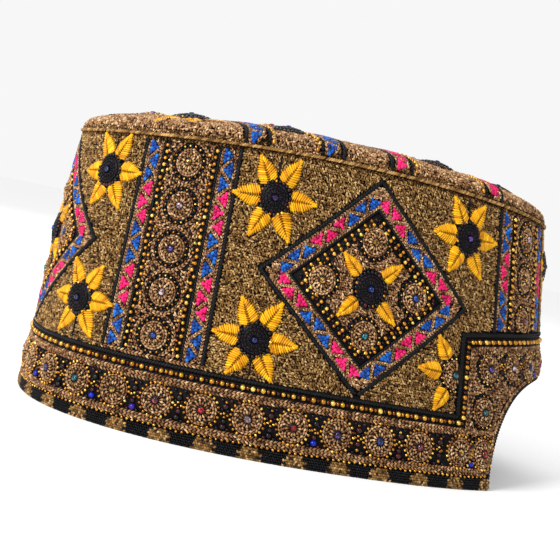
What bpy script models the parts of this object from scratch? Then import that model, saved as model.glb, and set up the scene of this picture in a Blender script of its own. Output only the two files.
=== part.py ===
"""Balochi cap: a stiff embroidered cloth cap with an arch cut out of its front.

The wearer looks along -Y and +Z is up. The cap stands on its lower rim.
Every trim is drawn flat on the wall's chart, in millimetres: u runs round
the lower rim from the back centre over the wearer's right side (-X), v runs
up the wall and h stands out from it. It is then bent round the cap.
"""
import bmesh
import bpy
from math import atan2, copysign, cos, pi, sin, sqrt
from mathutils import Matrix, Vector

# Main sizes in millimetres
RIM = 560.0             # length of the lower rim, a 56 cm head size
HALF_WIDTH = 71.17
HALF_LENGTH = 101.81
POWER_FRONT = 2.325     # squareness of the oval towards the front
POWER_BACK = 2.2035
HEIGHT = 101.36         # wall height, up to the crown seam
TAPER = 0.1047          # share by which the oval is narrower at the seam
TAPER_LONG = 0.117      # and shorter
LEAN = 6.81             # the seam's oval sits this far back
DROOP = 6.05            # the seam is lower at the front and back
CROWN_RISE = 7.4
SKIN = 1.8              # embroidery over the cloth, inside the rim length
CLOTH = 2.4
GAP = 0.3
CENTRE_Y = 3.88         # middle of the finished cap, moved to the origin
COLUMNS = 56
COLUMN = RIM / COLUMNS

# Arch cut and borders
ARCH_HALF = 78.3
ARCH_HEIGHT = 41.5
ARCH_POWER = 5.5
EDGE = 1.3
HEM_TOP = 4.2
BORDER_LOW = 5.0
BORDER_TOP = 27.0
HEM_END = 178.0
STEP_U = 182.6
STEP_TOP = 55.0
ARCH_TOP = 62.2
ARCH_SAG = 7.0
PITCH = RIM / 36
ROSETTE = 5.6
ROW_V = 12.9

# Bands, diamonds and flowers
BAND_U = 71.4
BAND_FRONT_U = 217.2
BAND_HALF = 18.1
BAND_RIDGE = 7.8
BAND_TOP = 98.4
DIAMOND_U = 142.5
DIAMOND_V = 62.0
DIAMOND_HALF_U = 41.7
DIAMOND_HALF_V = 36.6
BACK_HALF_U = 38.0
FRONT_HALF_U = 30.0
FRONT_FLOWER_OUT = 29.9
FLOWER_OUT = 38.1
FLOWER_HIGH = 86.0
FLOWER_LOW = 39.7
PETAL_TIP = 14.2
PETAL_BELLY = 9.6
PETAL_ROOT = 5.0
BOSS = 5.6

# Crown, in millimetres from its own centre
CROSS_BACK = 27.5
CROSS_BACK_HALF = 16.6
CROSS_FRONT = -28.0
CROSS_FRONT_HALF = 18.5
SPINE_HALF = 9.0
CROWN_SEAT = 0.4        # clears the dome's flat facets
CROWN_FLOWERS = ((30.5, 57.5), (30.5, -59.5))


def clear_scene():
    for item in list(bpy.data.objects):
        bpy.data.objects.remove(item, do_unlink=True)


def new_collection(name):
    found = bpy.data.collections.new(name)
    bpy.context.scene.collection.children.link(found)
    return found


def material(name, colour, roughness, metallic=0.0):
    made = bpy.data.materials.new(name)
    made.use_nodes = True
    shader = made.node_tree.nodes["Principled BSDF"]
    shader.inputs["Base Color"].default_value = (*colour, 1.0)
    shader.inputs["Roughness"].default_value = roughness
    shader.inputs["Metallic"].default_value = metallic
    return made


# The oval, the wall's chart and the crown's dome

def oval_at(angle):
    """Point of the lower rim; the angle runs from +Y towards -X."""
    c = cos(angle)
    s = sin(angle)
    power = POWER_FRONT if c < 0 else POWER_BACK
    x = -HALF_WIDTH * copysign(abs(s) ** (2 / power), s)
    y = HALF_LENGTH * copysign(abs(c) ** (2 / power), c)
    return x, y


def measure_rim(steps=4000):
    """Rim points with their distance along the rim from the back centre."""
    rows = [(0.0, *oval_at(0.0))]
    for i in range(1, steps + 1):
        x, y = oval_at(2 * pi * i / steps)
        far, px, py = rows[-1]
        rows.append((far + sqrt((x - px) ** 2 + (y - py) ** 2), x, y))
    scale = RIM / rows[-1][0]
    return [(far * scale, x, y) for far, x, y in rows]


RIM_ROWS = measure_rim()


def rim_point(u):
    u = u % RIM
    low = 0
    high = len(RIM_ROWS) - 1
    while high - low > 1:
        mid = (low + high) // 2
        if RIM_ROWS[mid][0] <= u:
            low = mid
        else:
            high = mid
    a = RIM_ROWS[low]
    b = RIM_ROWS[high]
    share = (u - a[0]) / (b[0] - a[0])
    return a[1] + (b[1] - a[1]) * share, a[2] + (b[2] - a[2]) * share


def rim_normal(u):
    ax, ay = rim_point(u - 1.0)
    bx, by = rim_point(u + 1.0)
    return Vector((-(by - ay), bx - ax)).normalized() * -1


def cap_point(u, v, h):
    """Chart millimetres to a point of the cap in metres."""
    x, y = rim_point(u)
    share = v / HEIGHT
    out = rim_normal(u)
    h -= SKIN
    drop = DROOP * share * (y / HALF_LENGTH) ** 2
    px = x * (1 - TAPER * share) + out.x * h
    py = y * (1 - TAPER_LONG * share) + LEAN * share + out.y * h - CENTRE_Y
    return Vector((px, py, v - drop)) * 0.001


def crown_height(x, y):
    """Height of the dome over the crown's own centre plane."""
    power = POWER_FRONT if y < 0 else POWER_BACK
    a = abs(x) / (HALF_WIDTH * (1 - TAPER) - SKIN)
    b = abs(y) / (HALF_LENGTH * (1 - TAPER_LONG) - SKIN)
    rho = min((a ** power + b ** power) ** (1 / power), 0.9995)
    return HEIGHT - DROOP * b * b + CROWN_RISE * (1 - rho ** 2.2) ** 0.26


def crown_point(x, y, h):
    step = 0.5
    slope_x = (crown_height(x + step, y) - crown_height(x - step, y)) / (2 * step)
    slope_y = (crown_height(x, y + step) - crown_height(x, y - step)) / (2 * step)
    out = Vector((-slope_x, -slope_y, 1.0)).normalized()
    h += CROWN_SEAT
    px = x + out.x * h
    py = y + out.y * h + LEAN - CENTRE_Y
    return Vector((px, py, crown_height(x, y) + out.z * h)) * 0.001


# Flat pieces and how they are joined, cut and bent

def plate(outlines, low, high):
    """A flat closed body from one outline and any holes, as a loose object."""
    curve = bpy.data.curves.new("outline", "CURVE")
    curve.dimensions = "2D"
    curve.fill_mode = "BOTH"
    curve.extrude = (high - low) / 2
    for outline in outlines:
        spline = curve.splines.new("POLY")
        spline.points.add(len(outline) - 1)
        for point, (u, v) in zip(spline.points, outline):
            point.co = (u, v, 0.0, 1.0)
        spline.use_cyclic_u = True
    drawn = bpy.data.objects.new("outline", curve)
    bpy.context.scene.collection.objects.link(drawn)
    bpy.context.view_layer.update()
    graph = bpy.context.evaluated_depsgraph_get()
    mesh = bpy.data.meshes.new_from_object(drawn.evaluated_get(graph))
    bpy.data.objects.remove(drawn, do_unlink=True)
    bpy.data.curves.remove(curve)
    bm = bmesh.new()
    bm.from_mesh(mesh)
    bmesh.ops.remove_doubles(bm, verts=bm.verts, dist=0.001)
    bmesh.ops.translate(bm, verts=bm.verts, vec=(0, 0, (low + high) / 2))
    face_out(bm)
    bm.to_mesh(mesh)
    bm.free()
    return loose(mesh)


def face_out(bm):
    bmesh.ops.recalc_face_normals(bm, faces=bm.faces)
    if bm.calc_volume(signed=True) < 0:
        bmesh.ops.reverse_faces(bm, faces=bm.faces)


def face_away(bm):
    """Turn an open surface's faces away from the cap's middle."""
    bmesh.ops.recalc_face_normals(bm, faces=bm.faces)
    if sum(face.normal.dot(face.calc_center_median()) for face in bm.faces) < 0:
        bmesh.ops.reverse_faces(bm, faces=bm.faces)


def loose(mesh):
    made = bpy.data.objects.new("loose", mesh)
    bpy.context.scene.collection.objects.link(made)
    return made


def raised_discs(centres, radius, top_radius, low, high, sides=8):
    """One loose object holding a low blunt cone at each centre."""
    bm = bmesh.new()
    for u, v in centres:
        place = Matrix.Translation((u, v, (low + high) / 2)) @ Matrix.Rotation(pi / sides, 4, "Z")
        bmesh.ops.create_cone(bm, cap_ends=True, segments=sides, radius1=radius,
                              radius2=top_radius, depth=high - low, matrix=place)
    mesh = bpy.data.meshes.new("discs")
    bm.to_mesh(mesh)
    bm.free()
    return loose(mesh)


def combine(base, other, operation):
    """Apply an exact Boolean to the base and remove the other object."""
    step = base.modifiers.new("combine", "BOOLEAN")
    step.operation = operation
    step.solver = "EXACT"
    step.object = other
    bpy.context.view_layer.update()
    graph = bpy.context.evaluated_depsgraph_get()
    mesh = bpy.data.meshes.new_from_object(base.evaluated_get(graph))
    base.modifiers.remove(step)
    base.data = mesh
    bpy.data.objects.remove(other, do_unlink=True)
    return base


def cut_lines(bm, places, axis):
    normal = (1, 0, 0) if axis == 0 else (0, 1, 0)
    for place in places:
        spot = [0.0, 0.0, 0.0]
        spot[axis] = place
        everything = bm.verts[:] + bm.edges[:] + bm.faces[:]
        bmesh.ops.bisect_plane(bm, geom=everything, dist=0.002, plane_co=spot, plane_no=normal)


def bend(item, name, look, home, where, across, upward=()):
    """Cut a flat body along the lines and bend it by the given mapping."""
    bm = bmesh.new()
    bm.from_mesh(item.data)
    bpy.data.objects.remove(item, do_unlink=True)
    bmesh.ops.remove_doubles(bm, verts=bm.verts, dist=0.001)
    bmesh.ops.dissolve_limit(bm, angle_limit=0.01, verts=bm.verts, edges=bm.edges)
    low = min(vert.co.x for vert in bm.verts)
    high = max(vert.co.x for vert in bm.verts)
    cut_lines(bm, [place for place in across if low + 0.3 < place < high - 0.3], 0)
    cut_lines(bm, upward, 1)
    bmesh.ops.triangulate(bm, faces=bm.faces)
    for vert in bm.verts:
        vert.co = where(*vert.co)
    face_out(bm)
    mesh = bpy.data.meshes.new(name)
    bm.to_mesh(mesh)
    bm.free()
    mesh.materials.append(look)
    mesh.shade_smooth()
    mesh.set_sharp_from_angle(angle=0.6)
    made = bpy.data.objects.new(name, mesh)
    home.objects.link(made)
    return made


COLUMN_LINES = [COLUMN * i for i in range(-COLUMNS, 2 * COLUMNS)]
CROWN_X = [side * place for side in (-1, 1) for place in (14, 30, 42, 51)]
CROWN_Y = [side * place for side in (-1, 1) for place in (14, 32, 48, 62, 75)]


def on_wall(item, name, look, home):
    return bend(item, name, look, home, cap_point, COLUMN_LINES)


def on_crown(item, name, look, home):
    return bend(item, name, look, home, crown_point, CROWN_X, CROWN_Y)


# Outlines in the chart

def box(u, v, half_u, half_v):
    return [(u - half_u, v - half_v), (u + half_u, v - half_v),
            (u + half_u, v + half_v), (u - half_u, v + half_v)]


def diamond(u, v, half_u, half_v, inset=0.0):
    """A diamond whose sides lie inset inside the given half sizes."""
    share = 1 - inset * sqrt(half_u ** 2 + half_v ** 2) / (half_u * half_v)
    return [(u - half_u * share, v), (u, v - half_v * share),
            (u + half_u * share, v), (u, v + half_v * share)]


def arch_edge_points(grow, low):
    """The arch cut from its right foot over the top to its left foot."""
    half = ARCH_HALF + grow
    tall = ARCH_HEIGHT + grow
    start = half * (1 - (low / tall) ** 2) ** (1 / ARCH_POWER)
    turn = atan2(low / tall, (start / half) ** (ARCH_POWER / 2))
    points = []
    steps = 26
    for i in range(steps + 1):
        angle = turn + (pi - 2 * turn) * i / steps
        c = cos(angle)
        x = half * copysign(abs(c) ** (2 / ARCH_POWER), c)
        points.append((RIM / 2 - x, tall * abs(sin(angle))))
    return points


def arch_top(u):
    """Upper edge of the arch border."""
    return ARCH_TOP - ARCH_SAG * ((u - RIM / 2) / 97.4) ** 2


def arch_row(u):
    return 48.5 - 5.5 * ((u - RIM / 2) / 84) ** 2


# The pieces

def make_wall(look, home, cutters):
    bm = bmesh.new()
    bmesh.ops.create_cone(bm, cap_ends=False, segments=COLUMNS, radius1=1, radius2=1, depth=1)
    foot = HEM_TOP + GAP + 0.2
    top = HEIGHT - 0.6
    for vert in bm.verts:
        u = round(atan2(vert.co.y, vert.co.x) / (2 * pi) * COLUMNS) * COLUMN
        vert.co = cap_point(u, foot if vert.co.z < 0 else top, 0)
    face_away(bm)
    mesh = bpy.data.meshes.new("side_wall")
    bm.to_mesh(mesh)
    bm.free()
    wall = bpy.data.objects.new("side_wall", mesh)
    home.objects.link(wall)
    shell = wall.modifiers.new("cloth", "SOLIDIFY")
    shell.thickness = CLOTH * 0.001
    shell.offset = -1
    shell.use_even_offset = True
    outline = arch_edge_points(EDGE + GAP, 0.5)
    outline = [(outline[0][0], -3.0)] + outline + [(outline[-1][0], -3.0)]
    cutter = on_wall(plate([outline], -7, 5), "arch_cutter", look, cutters)
    cutter.hide_render = True
    cutter.display_type = "WIRE"
    cut = wall.modifiers.new("arch", "BOOLEAN")
    cut.operation = "DIFFERENCE"
    cut.solver = "EXACT"
    cut.object = cutter
    mesh.materials.append(look)
    mesh.shade_smooth()
    mesh.set_sharp_from_angle(angle=0.6)


def make_crown(look, home):
    bm = bmesh.new()
    rings = 6
    bmesh.ops.create_uvsphere(bm, u_segments=COLUMNS, v_segments=2 * rings, radius=1)
    lower = [vert for vert in bm.verts if vert.co.z < -0.01]
    bmesh.ops.delete(bm, geom=lower, context="VERTS")
    sizes = (0.0, 0.6, 0.84, 0.94, 0.985, 1.0, 1.0)
    for vert in bm.verts:
        ring = round(atan2(sqrt(vert.co.x ** 2 + vert.co.y ** 2), vert.co.z) / (pi / 2) * rings)
        u = round(atan2(vert.co.y, vert.co.x) / (2 * pi) * COLUMNS) * COLUMN
        rim = cap_point(u, HEIGHT, 0)
        rho = sizes[ring]
        x = rim.x * rho
        y = (rim.y * 1000 + CENTRE_Y - LEAN) * rho
        fall = DROOP * (y / (HALF_LENGTH * (1 - TAPER_LONG) - SKIN)) ** 2
        lift = CROWN_RISE * (1 - min(rho, 0.9995) ** 2.2) ** 0.26
        if ring == rings:
            lift = 0.0
        vert.co = (x, (y + LEAN - CENTRE_Y) * 0.001, (HEIGHT - fall + lift) * 0.001)
    face_away(bm)
    mesh = bpy.data.meshes.new("crown_panel")
    bm.to_mesh(mesh)
    bm.free()
    mesh.materials.append(look)
    mesh.shade_smooth()
    crown = bpy.data.objects.new("crown_panel", mesh)
    home.objects.link(crown)
    shell = crown.modifiers.new("cloth", "SOLIDIFY")
    shell.thickness = CLOTH * 0.001
    shell.offset = -1
    shell.use_even_offset = True


def section_ring(name, section, look, home):
    """A closed ring with the given (h, v) section, all the way round."""
    mesh = bpy.data.meshes.new(name)
    bm = bmesh.new()
    loops = []
    for i in range(COLUMNS):
        loops.append([bm.verts.new(cap_point(i * COLUMN, v, h)) for h, v in section])
    for i in range(COLUMNS):
        near = loops[i]
        far = loops[(i + 1) % COLUMNS]
        for j in range(len(section)):
            k = (j + 1) % len(section)
            bm.faces.new((near[j], near[k], far[k], far[j]))
    face_out(bm)
    bm.to_mesh(mesh)
    bm.free()
    mesh.materials.append(look)
    mesh.shade_smooth()
    made = bpy.data.objects.new(name, mesh)
    home.objects.link(made)
    return made


def make_crown_braid(look, home):
    section = [(GAP, HEIGHT - 2.4), (1.7, HEIGHT - 1.9), (1.3, HEIGHT - 0.1),
               (1.6, HEIGHT + 1.6), (GAP + 0.3, HEIGHT + 1.9)]
    section_ring("crown_braid", section, look, home)


def make_hem_binding(look, home):
    section = [(-2.7, 0.0), (0.9, 0.0), (1.5, 1.6), (1.2, 3.5), (0.6, HEM_TOP),
               (-2.7, HEM_TOP), (-3.1, 2.1)]
    half = RIM / 2 - ARCH_HALF
    flat = plate([section], -half, half)
    for vert in flat.data.vertices:
        h, v, u = vert.co
        vert.co = (u, v, h)
    on_wall(flat, "hem_binding", look, home)


def make_arch_edge(look, home):
    outline = arch_edge_points(0.0, HEM_TOP + GAP)
    outline += reversed(arch_edge_points(EDGE, HEM_TOP + GAP))
    on_wall(plate([outline], -2.2, 0.9), "arch_edge", look, home)


def make_hem_border(look, home):
    half = HEM_END - GAP
    base = plate([box(0, (BORDER_LOW + BORDER_TOP) / 2, half, (BORDER_TOP - BORDER_LOW) / 2)],
                 GAP, 1.1)
    spots = [(0.0, ROW_V)]
    for k in range(12):
        u = 13.4 + PITCH * k
        if u + ROSETTE < half:
            spots += [(-u, ROW_V), (u, ROW_V)]
    base = combine(base, raised_discs(spots, ROSETTE, 4.4, 0.6, 2.2), "UNION")
    on_wall(base, "hem_border", look, home)


def make_arch_border(look, home):
    left = STEP_U
    right = RIM - STEP_U
    steps = 22
    outline = [(left, BORDER_TOP), (HEM_END, BORDER_TOP), (HEM_END, BORDER_LOW)]
    outline += [(RIM - HEM_END, BORDER_LOW), (RIM - HEM_END, BORDER_TOP), (right, BORDER_TOP)]
    for i in range(steps + 1):
        u = right + (left - right) * i / steps
        outline.append((u, arch_top(u)))
    base = plate([outline], GAP, 1.1)
    spots = []
    for i in range(13):
        u = RIM / 2 - 81.2 + 13.53 * i
        spots.append((u, arch_row(u)))
    for side in (-1, 1):
        spots += [(RIM / 2 + side * 94.6, ROW_V), (RIM / 2 + side * 82.6, ROW_V)]
        spots.append((RIM / 2 + side * 83.4, 27.6))
    base = combine(base, raised_discs(spots, ROSETTE, 4.4, 0.6, 2.2), "UNION")
    cut = arch_edge_points(EDGE + GAP, 0.5)
    cut = [(cut[0][0], -9.0)] + cut + [(cut[-1][0], -9.0)]
    base = combine(base, plate([cut], -5, 9), "DIFFERENCE")
    on_wall(base, "arch_border", look, home)


def strip(u, half, foot, top):
    """An upright strip whose foot follows the given edge."""
    points = [(u + half, top), (u - half, top)]
    for i in range(5):
        place = u - half + half * i / 2
        points.append((place, foot(place)))
    return points


def make_band(name, u, foot, rows, look, home):
    base = plate([strip(u, BAND_HALF, foot, BAND_TOP)], GAP, 1.0)
    for side in (-1, 1):
        place = u + side * (BAND_HALF - 0.3 - BAND_RIDGE / 2)
        outline = strip(place, BAND_RIDGE / 2, lambda spot: foot(spot) + 0.3, BAND_TOP - 0.3)
        ridge = plate([outline], 0.6, 1.6)
        base = combine(base, ridge, "UNION")
    base = combine(base, raised_discs([(u, v) for v in rows], ROSETTE + 0.7, 4.6, 0.7, 2.3), "UNION")
    on_wall(base, name, look, home)


def make_bands(look, home):
    rows = [34.0 + 14.4 * i for i in range(5)]

    def hem_foot(place):
        return BORDER_TOP + GAP

    def arch_foot(place):
        return arch_top(place) + GAP

    for side, mirror in (("right", 1), ("left", -1)):
        make_band("band_back_" + side, mirror * BAND_U, hem_foot, rows, look, home)
        place = RIM / 2 + mirror * (BAND_FRONT_U - RIM / 2)
        make_band("band_front_" + side, place, arch_foot, rows[3:], look, home)


def make_diamond(name, u, half_u, look, home, floor=BORDER_TOP + GAP):
    v = DIAMOND_V
    base = plate([diamond(u, v, half_u, DIAMOND_HALF_V)], GAP, 1.0)
    frame = plate([diamond(u, v, half_u, DIAMOND_HALF_V, 0.3),
                   diamond(u, v, half_u, DIAMOND_HALF_V, 7.4)], 0.6, 1.6)
    base = combine(base, frame, "UNION")
    spots = [(u - 17.9, v), (u + 17.9, v), (u, v - 15.5), (u, v + 15.5)]
    base = combine(base, raised_discs(spots, ROSETTE, 4.4, 0.7, 2.2), "UNION")
    base = combine(base, raised_discs([(u, v)], 6.2, 4.0, 0.7, 3.2, 10), "UNION")
    base = combine(base, plate([box(u, floor - 40, 60, 40)], -5, 9), "DIFFERENCE")
    on_wall(base, name, look, home)


def make_diamonds(look, home):
    make_diamond("diamond_right", DIAMOND_U, DIAMOND_HALF_U, look, home)
    make_diamond("diamond_left", RIM - DIAMOND_U, DIAMOND_HALF_U, look, home)
    make_diamond("diamond_back", 0.0, BACK_HALF_U, look, home)
    make_diamond("diamond_front", RIM / 2, FRONT_HALF_U, look, home, ARCH_TOP + GAP)


def petal_outline(u, v):
    points = []
    for i in range(6):
        for radius, angle in ((PETAL_ROOT, -30), (PETAL_BELLY, -17), (PETAL_TIP, 0), (PETAL_BELLY, 17)):
            place = (60 * i + angle) * pi / 180
            points.append((u + radius * cos(place), v + radius * sin(place)))
    return points


def make_flower(name, u, v, looks, home, put, tall=3.8, cut=None):
    petals = plate([petal_outline(u, v)], GAP + 0.05, 1.6)
    boss = raised_discs([(u, v)], BOSS, 3.4, 1.9, tall, 10)
    if cut is not None:
        petals = combine(petals, plate([cut], -5, 9), "DIFFERENCE")
        boss = combine(boss, plate([cut], -5, 9), "DIFFERENCE")
    put(petals, name + "_petals", looks["petal"], home)
    put(boss, name + "_boss", looks["boss"], home)


def make_wall_flowers(looks, home):
    # Behind each step line the lower flower of the side panel is half covered.
    number = 0
    for mirror in (False, True):
        for centre, out in ((0.0, 1), (DIAMOND_U, -1), (DIAMOND_U, 1)):
            for v in (FLOWER_HIGH, FLOWER_LOW):
                number += 1
                u = centre + out * FLOWER_OUT
                cut = None
                if centre and out == 1 and v == FLOWER_LOW:
                    u = STEP_U - 2.5
                    cut = box(STEP_U + 20 - GAP, 40, 20, 40)
                if mirror:
                    u = RIM - u
                    if cut:
                        cut = box(RIM - STEP_U - 20 + GAP, 40, 20, 40)
                make_flower(f"flower_{number:02d}", u, v, looks, home, on_wall, cut=cut)
        number += 1
        u = RIM / 2 + (FRONT_FLOWER_OUT if mirror else -FRONT_FLOWER_OUT)
        make_flower(f"flower_{number:02d}", u, FLOWER_HIGH, looks, home, on_wall)


def make_crown_trims(looks, home):
    base = plate([box(0, CROSS_BACK, 54.2, CROSS_BACK_HALF)], GAP + 0.1, 1.2)
    base = combine(base, plate([box(0, CROSS_FRONT, 54.0, CROSS_FRONT_HALF)], GAP + 0.1, 1.2), "UNION")
    base = combine(base, plate([box(0, 0, SPINE_HALF, 81)], GAP + 0.1, 1.2), "UNION")
    spots = [(x, y) for x in (-45, -22.5, 22.5, 45) for y in (CROSS_BACK, CROSS_FRONT)]
    spots += [(0, 66), (0, -66), (0, CROSS_BACK), (0, CROSS_FRONT)]
    base = combine(base, raised_discs(spots, ROSETTE, 4.4, 0.8, 2.2, 6), "UNION")
    on_crown(base, "crown_lattice", looks["gold"], home)
    medal = raised_discs([(0, 0)], 7.0, 4.5, 1.5, 3.4, 12)
    on_crown(medal, "crown_medallion", looks["boss"], home)
    number = 0
    for x, y in CROWN_FLOWERS:
        for side in (-1, 1):
            number += 1
            make_flower(f"crown_flower_{number}", side * x, y, looks, home, on_crown, 3.0)


def build():
    clear_scene()
    home = new_collection("balochi_cap")
    cutters = new_collection("cutters")
    looks = {
        "cloth": material("embroidered_cloth", (0.38, 0.25, 0.11), 0.85),
        "gold": material("rosette_embroidery", (0.46, 0.30, 0.13), 0.8),
        "braid": material("tan_braid", (0.42, 0.27, 0.11), 0.8),
        "black": material("black_braid", (0.012, 0.012, 0.014), 0.45),
        "check": material("checked_binding", (0.2, 0.14, 0.08), 0.8),
        "petal": material("yellow_satin_stitch", (0.86, 0.44, 0.03), 0.5),
        "boss": material("dark_bead_boss", (0.03, 0.015, 0.03), 0.4),
    }
    make_wall(looks["cloth"], home, cutters)
    make_crown(looks["cloth"], home)
    make_crown_braid(looks["braid"], home)
    make_hem_binding(looks["check"], home)
    make_arch_edge(looks["black"], home)
    make_hem_border(looks["gold"], home)
    make_arch_border(looks["gold"], home)
    make_bands(looks["gold"], home)
    make_diamonds(looks["gold"], home)
    make_wall_flowers(looks, home)
    make_crown_trims(looks, home)


build()
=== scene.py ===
"""Balochi cap with its embroidery and beadwork.

Every stitch, bead and braid is laid out flat on the cap's chart in
millimetres and then bent round the cap. On the wall u runs round the lower
rim from the back centre over the wearer's right side, v runs up and h
stands out of the cloth. On the crown the chart is x, y and h.
"""

from math import cos, pi, radians, sin, sqrt

import bpy
import numpy as np
from mathutils import Matrix, Vector


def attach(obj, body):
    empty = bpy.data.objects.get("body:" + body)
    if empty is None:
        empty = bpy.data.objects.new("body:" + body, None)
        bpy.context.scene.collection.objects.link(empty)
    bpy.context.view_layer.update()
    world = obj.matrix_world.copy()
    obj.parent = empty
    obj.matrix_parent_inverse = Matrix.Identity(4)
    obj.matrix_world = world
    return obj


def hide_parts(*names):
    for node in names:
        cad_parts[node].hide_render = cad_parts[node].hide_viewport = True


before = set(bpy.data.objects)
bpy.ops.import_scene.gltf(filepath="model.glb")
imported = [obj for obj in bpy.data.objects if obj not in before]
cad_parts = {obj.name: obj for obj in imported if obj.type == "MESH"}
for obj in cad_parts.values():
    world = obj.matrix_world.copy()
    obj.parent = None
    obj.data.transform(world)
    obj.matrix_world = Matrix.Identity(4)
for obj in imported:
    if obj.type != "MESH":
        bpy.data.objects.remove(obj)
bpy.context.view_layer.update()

# Sizes of the cap, the same as in its solids, in millimetres
RIM = 560.0
HALF_WIDTH = 71.17
HALF_LENGTH = 101.81
POWER_FRONT = 2.325
POWER_BACK = 2.2035
HEIGHT = 101.36
TAPER = 0.1047
TAPER_LONG = 0.117
LEAN = 6.81
DROOP = 6.05
CROWN_RISE = 7.4
SKIN = 1.8
CLOTH = 2.4
CENTRE_Y = 3.88
ARCH_HALF = 78.3
ARCH_HEIGHT = 41.5
ARCH_POWER = 5.5
HEM_TOP = 4.2
STEP_U = 182.6
ARCH_TOP = 60.9
ARCH_SAG = 7.0
ARCH_BORDER_HALF = RIM / 2 - STEP_U
ARCH_ROW_V = 48.5
ARCH_ROW_SAG = 5.5
ARCH_ROW_HALF = 84.0
ROW_V = 12.9
BORDER_TOP = 27.0
BAND_U = 69.9
BAND_FRONT_U = 217.2
BAND_HALF = 19.2
DIAMOND_U = 142.5
DIAMOND_V = 62.0
DIAMOND_HALF_U = 41.7
DIAMOND_HALF_V = 36.6
BACK_HALF_U = 38.0
FRONT_HALF_U = 30.0
SPINE_HALF = 9.0
SPINE_END = 82.5
SEAM_HALF_WIDTH = HALF_WIDTH * (1 - TAPER) - SKIN
SEAM_HALF_LENGTH = HALF_LENGTH * (1 - TAPER_LONG) - SKIN
SEAM_X = SEAM_HALF_WIDTH / HALF_WIDTH
SEAM_Y = SEAM_HALF_LENGTH / HALF_LENGTH
DOME_POWER = 2.2
DOME_ROOT = 0.26
BOSS = 6.4
PETAL_TIP = 15.0
CROWN_FLOWERS = ((30.5, 57.5), (30.5, -59.5))

# The lower border: where it ends at the arch, its rosettes' places round the
# rim, and how far up its rows of beads and cord run
HEM_END = 178.0
HEM_FIRST = 13.2
HEM_STEP = 15.5
FOOT_BEADS_V = 4.75
GOLD_BEADS_V = 22.95
BLACK_CORD_V = 25.05
BAND_FOOT_V = 26.6

# Flowers of the right half: number, u, v
FLOWERS = ((1, 37.2, 86.8), (2, 37.4, 40.6), (3, 103.2, 85.4), (4, 104.2, 38.9), (5, 181.2, 86.0),
           (6, 180.3, 39.0), (7, 250.1, 86.0))

# Bands over the crown: lower y, upper y, colour of the outer triangles
CROSS_BANDS = ((10.6, 44.0, "blue"), (-51.0, -4.4, "pink"))

chance = np.random.default_rng(11)


# The wall's and the crown's charts

def line_of(a, b):
    """Chart points from their places along and across."""
    return np.stack((a, b), axis=1)


def lay_out_rim():
    """Distance round the rim against the rim's points."""
    angle = np.linspace(0, 2 * pi, 4001)
    c = np.cos(angle)
    s = np.sin(angle)
    power = np.where(c < 0, POWER_FRONT, POWER_BACK)
    x = -HALF_WIDTH * np.sign(s) * np.abs(s) ** (2 / power)
    y = HALF_LENGTH * np.sign(c) * np.abs(c) ** (2 / power)
    far = np.concatenate(([0.0], np.cumsum(np.hypot(np.diff(x), np.diff(y)))))
    return far * RIM / far[-1], x, y


RIM_FAR, RIM_X, RIM_Y = lay_out_rim()


def rim_point(u):
    """The rim's point at u."""
    u = np.mod(u, RIM)
    return np.interp(u, RIM_FAR, RIM_X), np.interp(u, RIM_FAR, RIM_Y)


def wall_chart(spots):
    """Chart millimetres (u, v, h) to metres on the wall."""
    u, v, h = spots[:, 0], spots[:, 1], spots[:, 2]
    x, y = rim_point(u)
    ax, ay = rim_point(u - 1.0)
    bx, by = rim_point(u + 1.0)
    run = np.hypot(bx - ax, by - ay)
    share = v / HEIGHT
    out = h - SKIN
    px = x * (1 - TAPER * share) + (by - ay) / run * out
    py = y * (1 - TAPER_LONG * share) + LEAN * share - (bx - ax) / run * out - CENTRE_Y
    # No stitch hangs below the rim, where the cap stands.
    pz = np.maximum(v - DROOP * share * (y / HALF_LENGTH) ** 2, 0.0)
    return np.stack((px, py, pz), axis=1) * 0.001


def crown_reach(x, y):
    """1 at the crown seam, 0 in the crown's middle."""
    power = np.where(y < 0, POWER_FRONT, POWER_BACK)
    a = np.abs(x) / SEAM_HALF_WIDTH
    b = np.abs(y) / SEAM_HALF_LENGTH
    return (a ** power + b ** power) ** (1 / power)


def dome_rise(reach):
    """How far the dome stands over the crown seam."""
    return CROWN_RISE * (1 - reach ** DOME_POWER) ** DOME_ROOT


def crown_height(x, y):
    """Height of the crown's cloth at x, y."""
    b = np.abs(y) / SEAM_HALF_LENGTH
    return HEIGHT - DROOP * b * b + dome_rise(np.minimum(crown_reach(x, y), 0.9995))


def crown_chart(spots):
    """Chart millimetres (x, y, h) to metres on the crown."""
    x, y, h = spots[:, 0], spots[:, 1], spots[:, 2]
    step = 0.5
    slope_x = (crown_height(x + step, y) - crown_height(x - step, y)) / (2 * step)
    slope_y = (crown_height(x, y + step) - crown_height(x, y - step)) / (2 * step)
    size = np.sqrt(slope_x ** 2 + slope_y ** 2 + 1)
    px = x - slope_x / size * h
    py = y - slope_y / size * h + LEAN - CENTRE_Y
    pz = crown_height(x, y) + h / size
    return np.stack((px, py, pz), axis=1) * 0.001


def lay_out_shoulder():
    """Distance in from the crown seam against reach, up the rounded edge."""
    reach = 1 - 0.7 * np.linspace(0, 1, 3000) ** 2
    steps = np.hypot(np.diff(reach) * 72, np.diff(dome_rise(reach)))
    return np.concatenate(([0.0], np.cumsum(steps))), reach


SHOULDER_FAR, SHOULDER_REACH = lay_out_shoulder()


def shoulder_surface(u, s):
    """Points of the crown's cloth in millimetres, s inwards from its seam."""
    x, y = rim_point(u)
    reach = np.interp(s, SHOULDER_FAR, SHOULDER_REACH)
    ry = y * SEAM_Y * reach
    z = HEIGHT - DROOP * (ry / (HALF_LENGTH * SEAM_Y)) ** 2 + dome_rise(reach)
    return np.stack((x * SEAM_X * reach, ry + LEAN - CENTRE_Y, z), axis=1)


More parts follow.
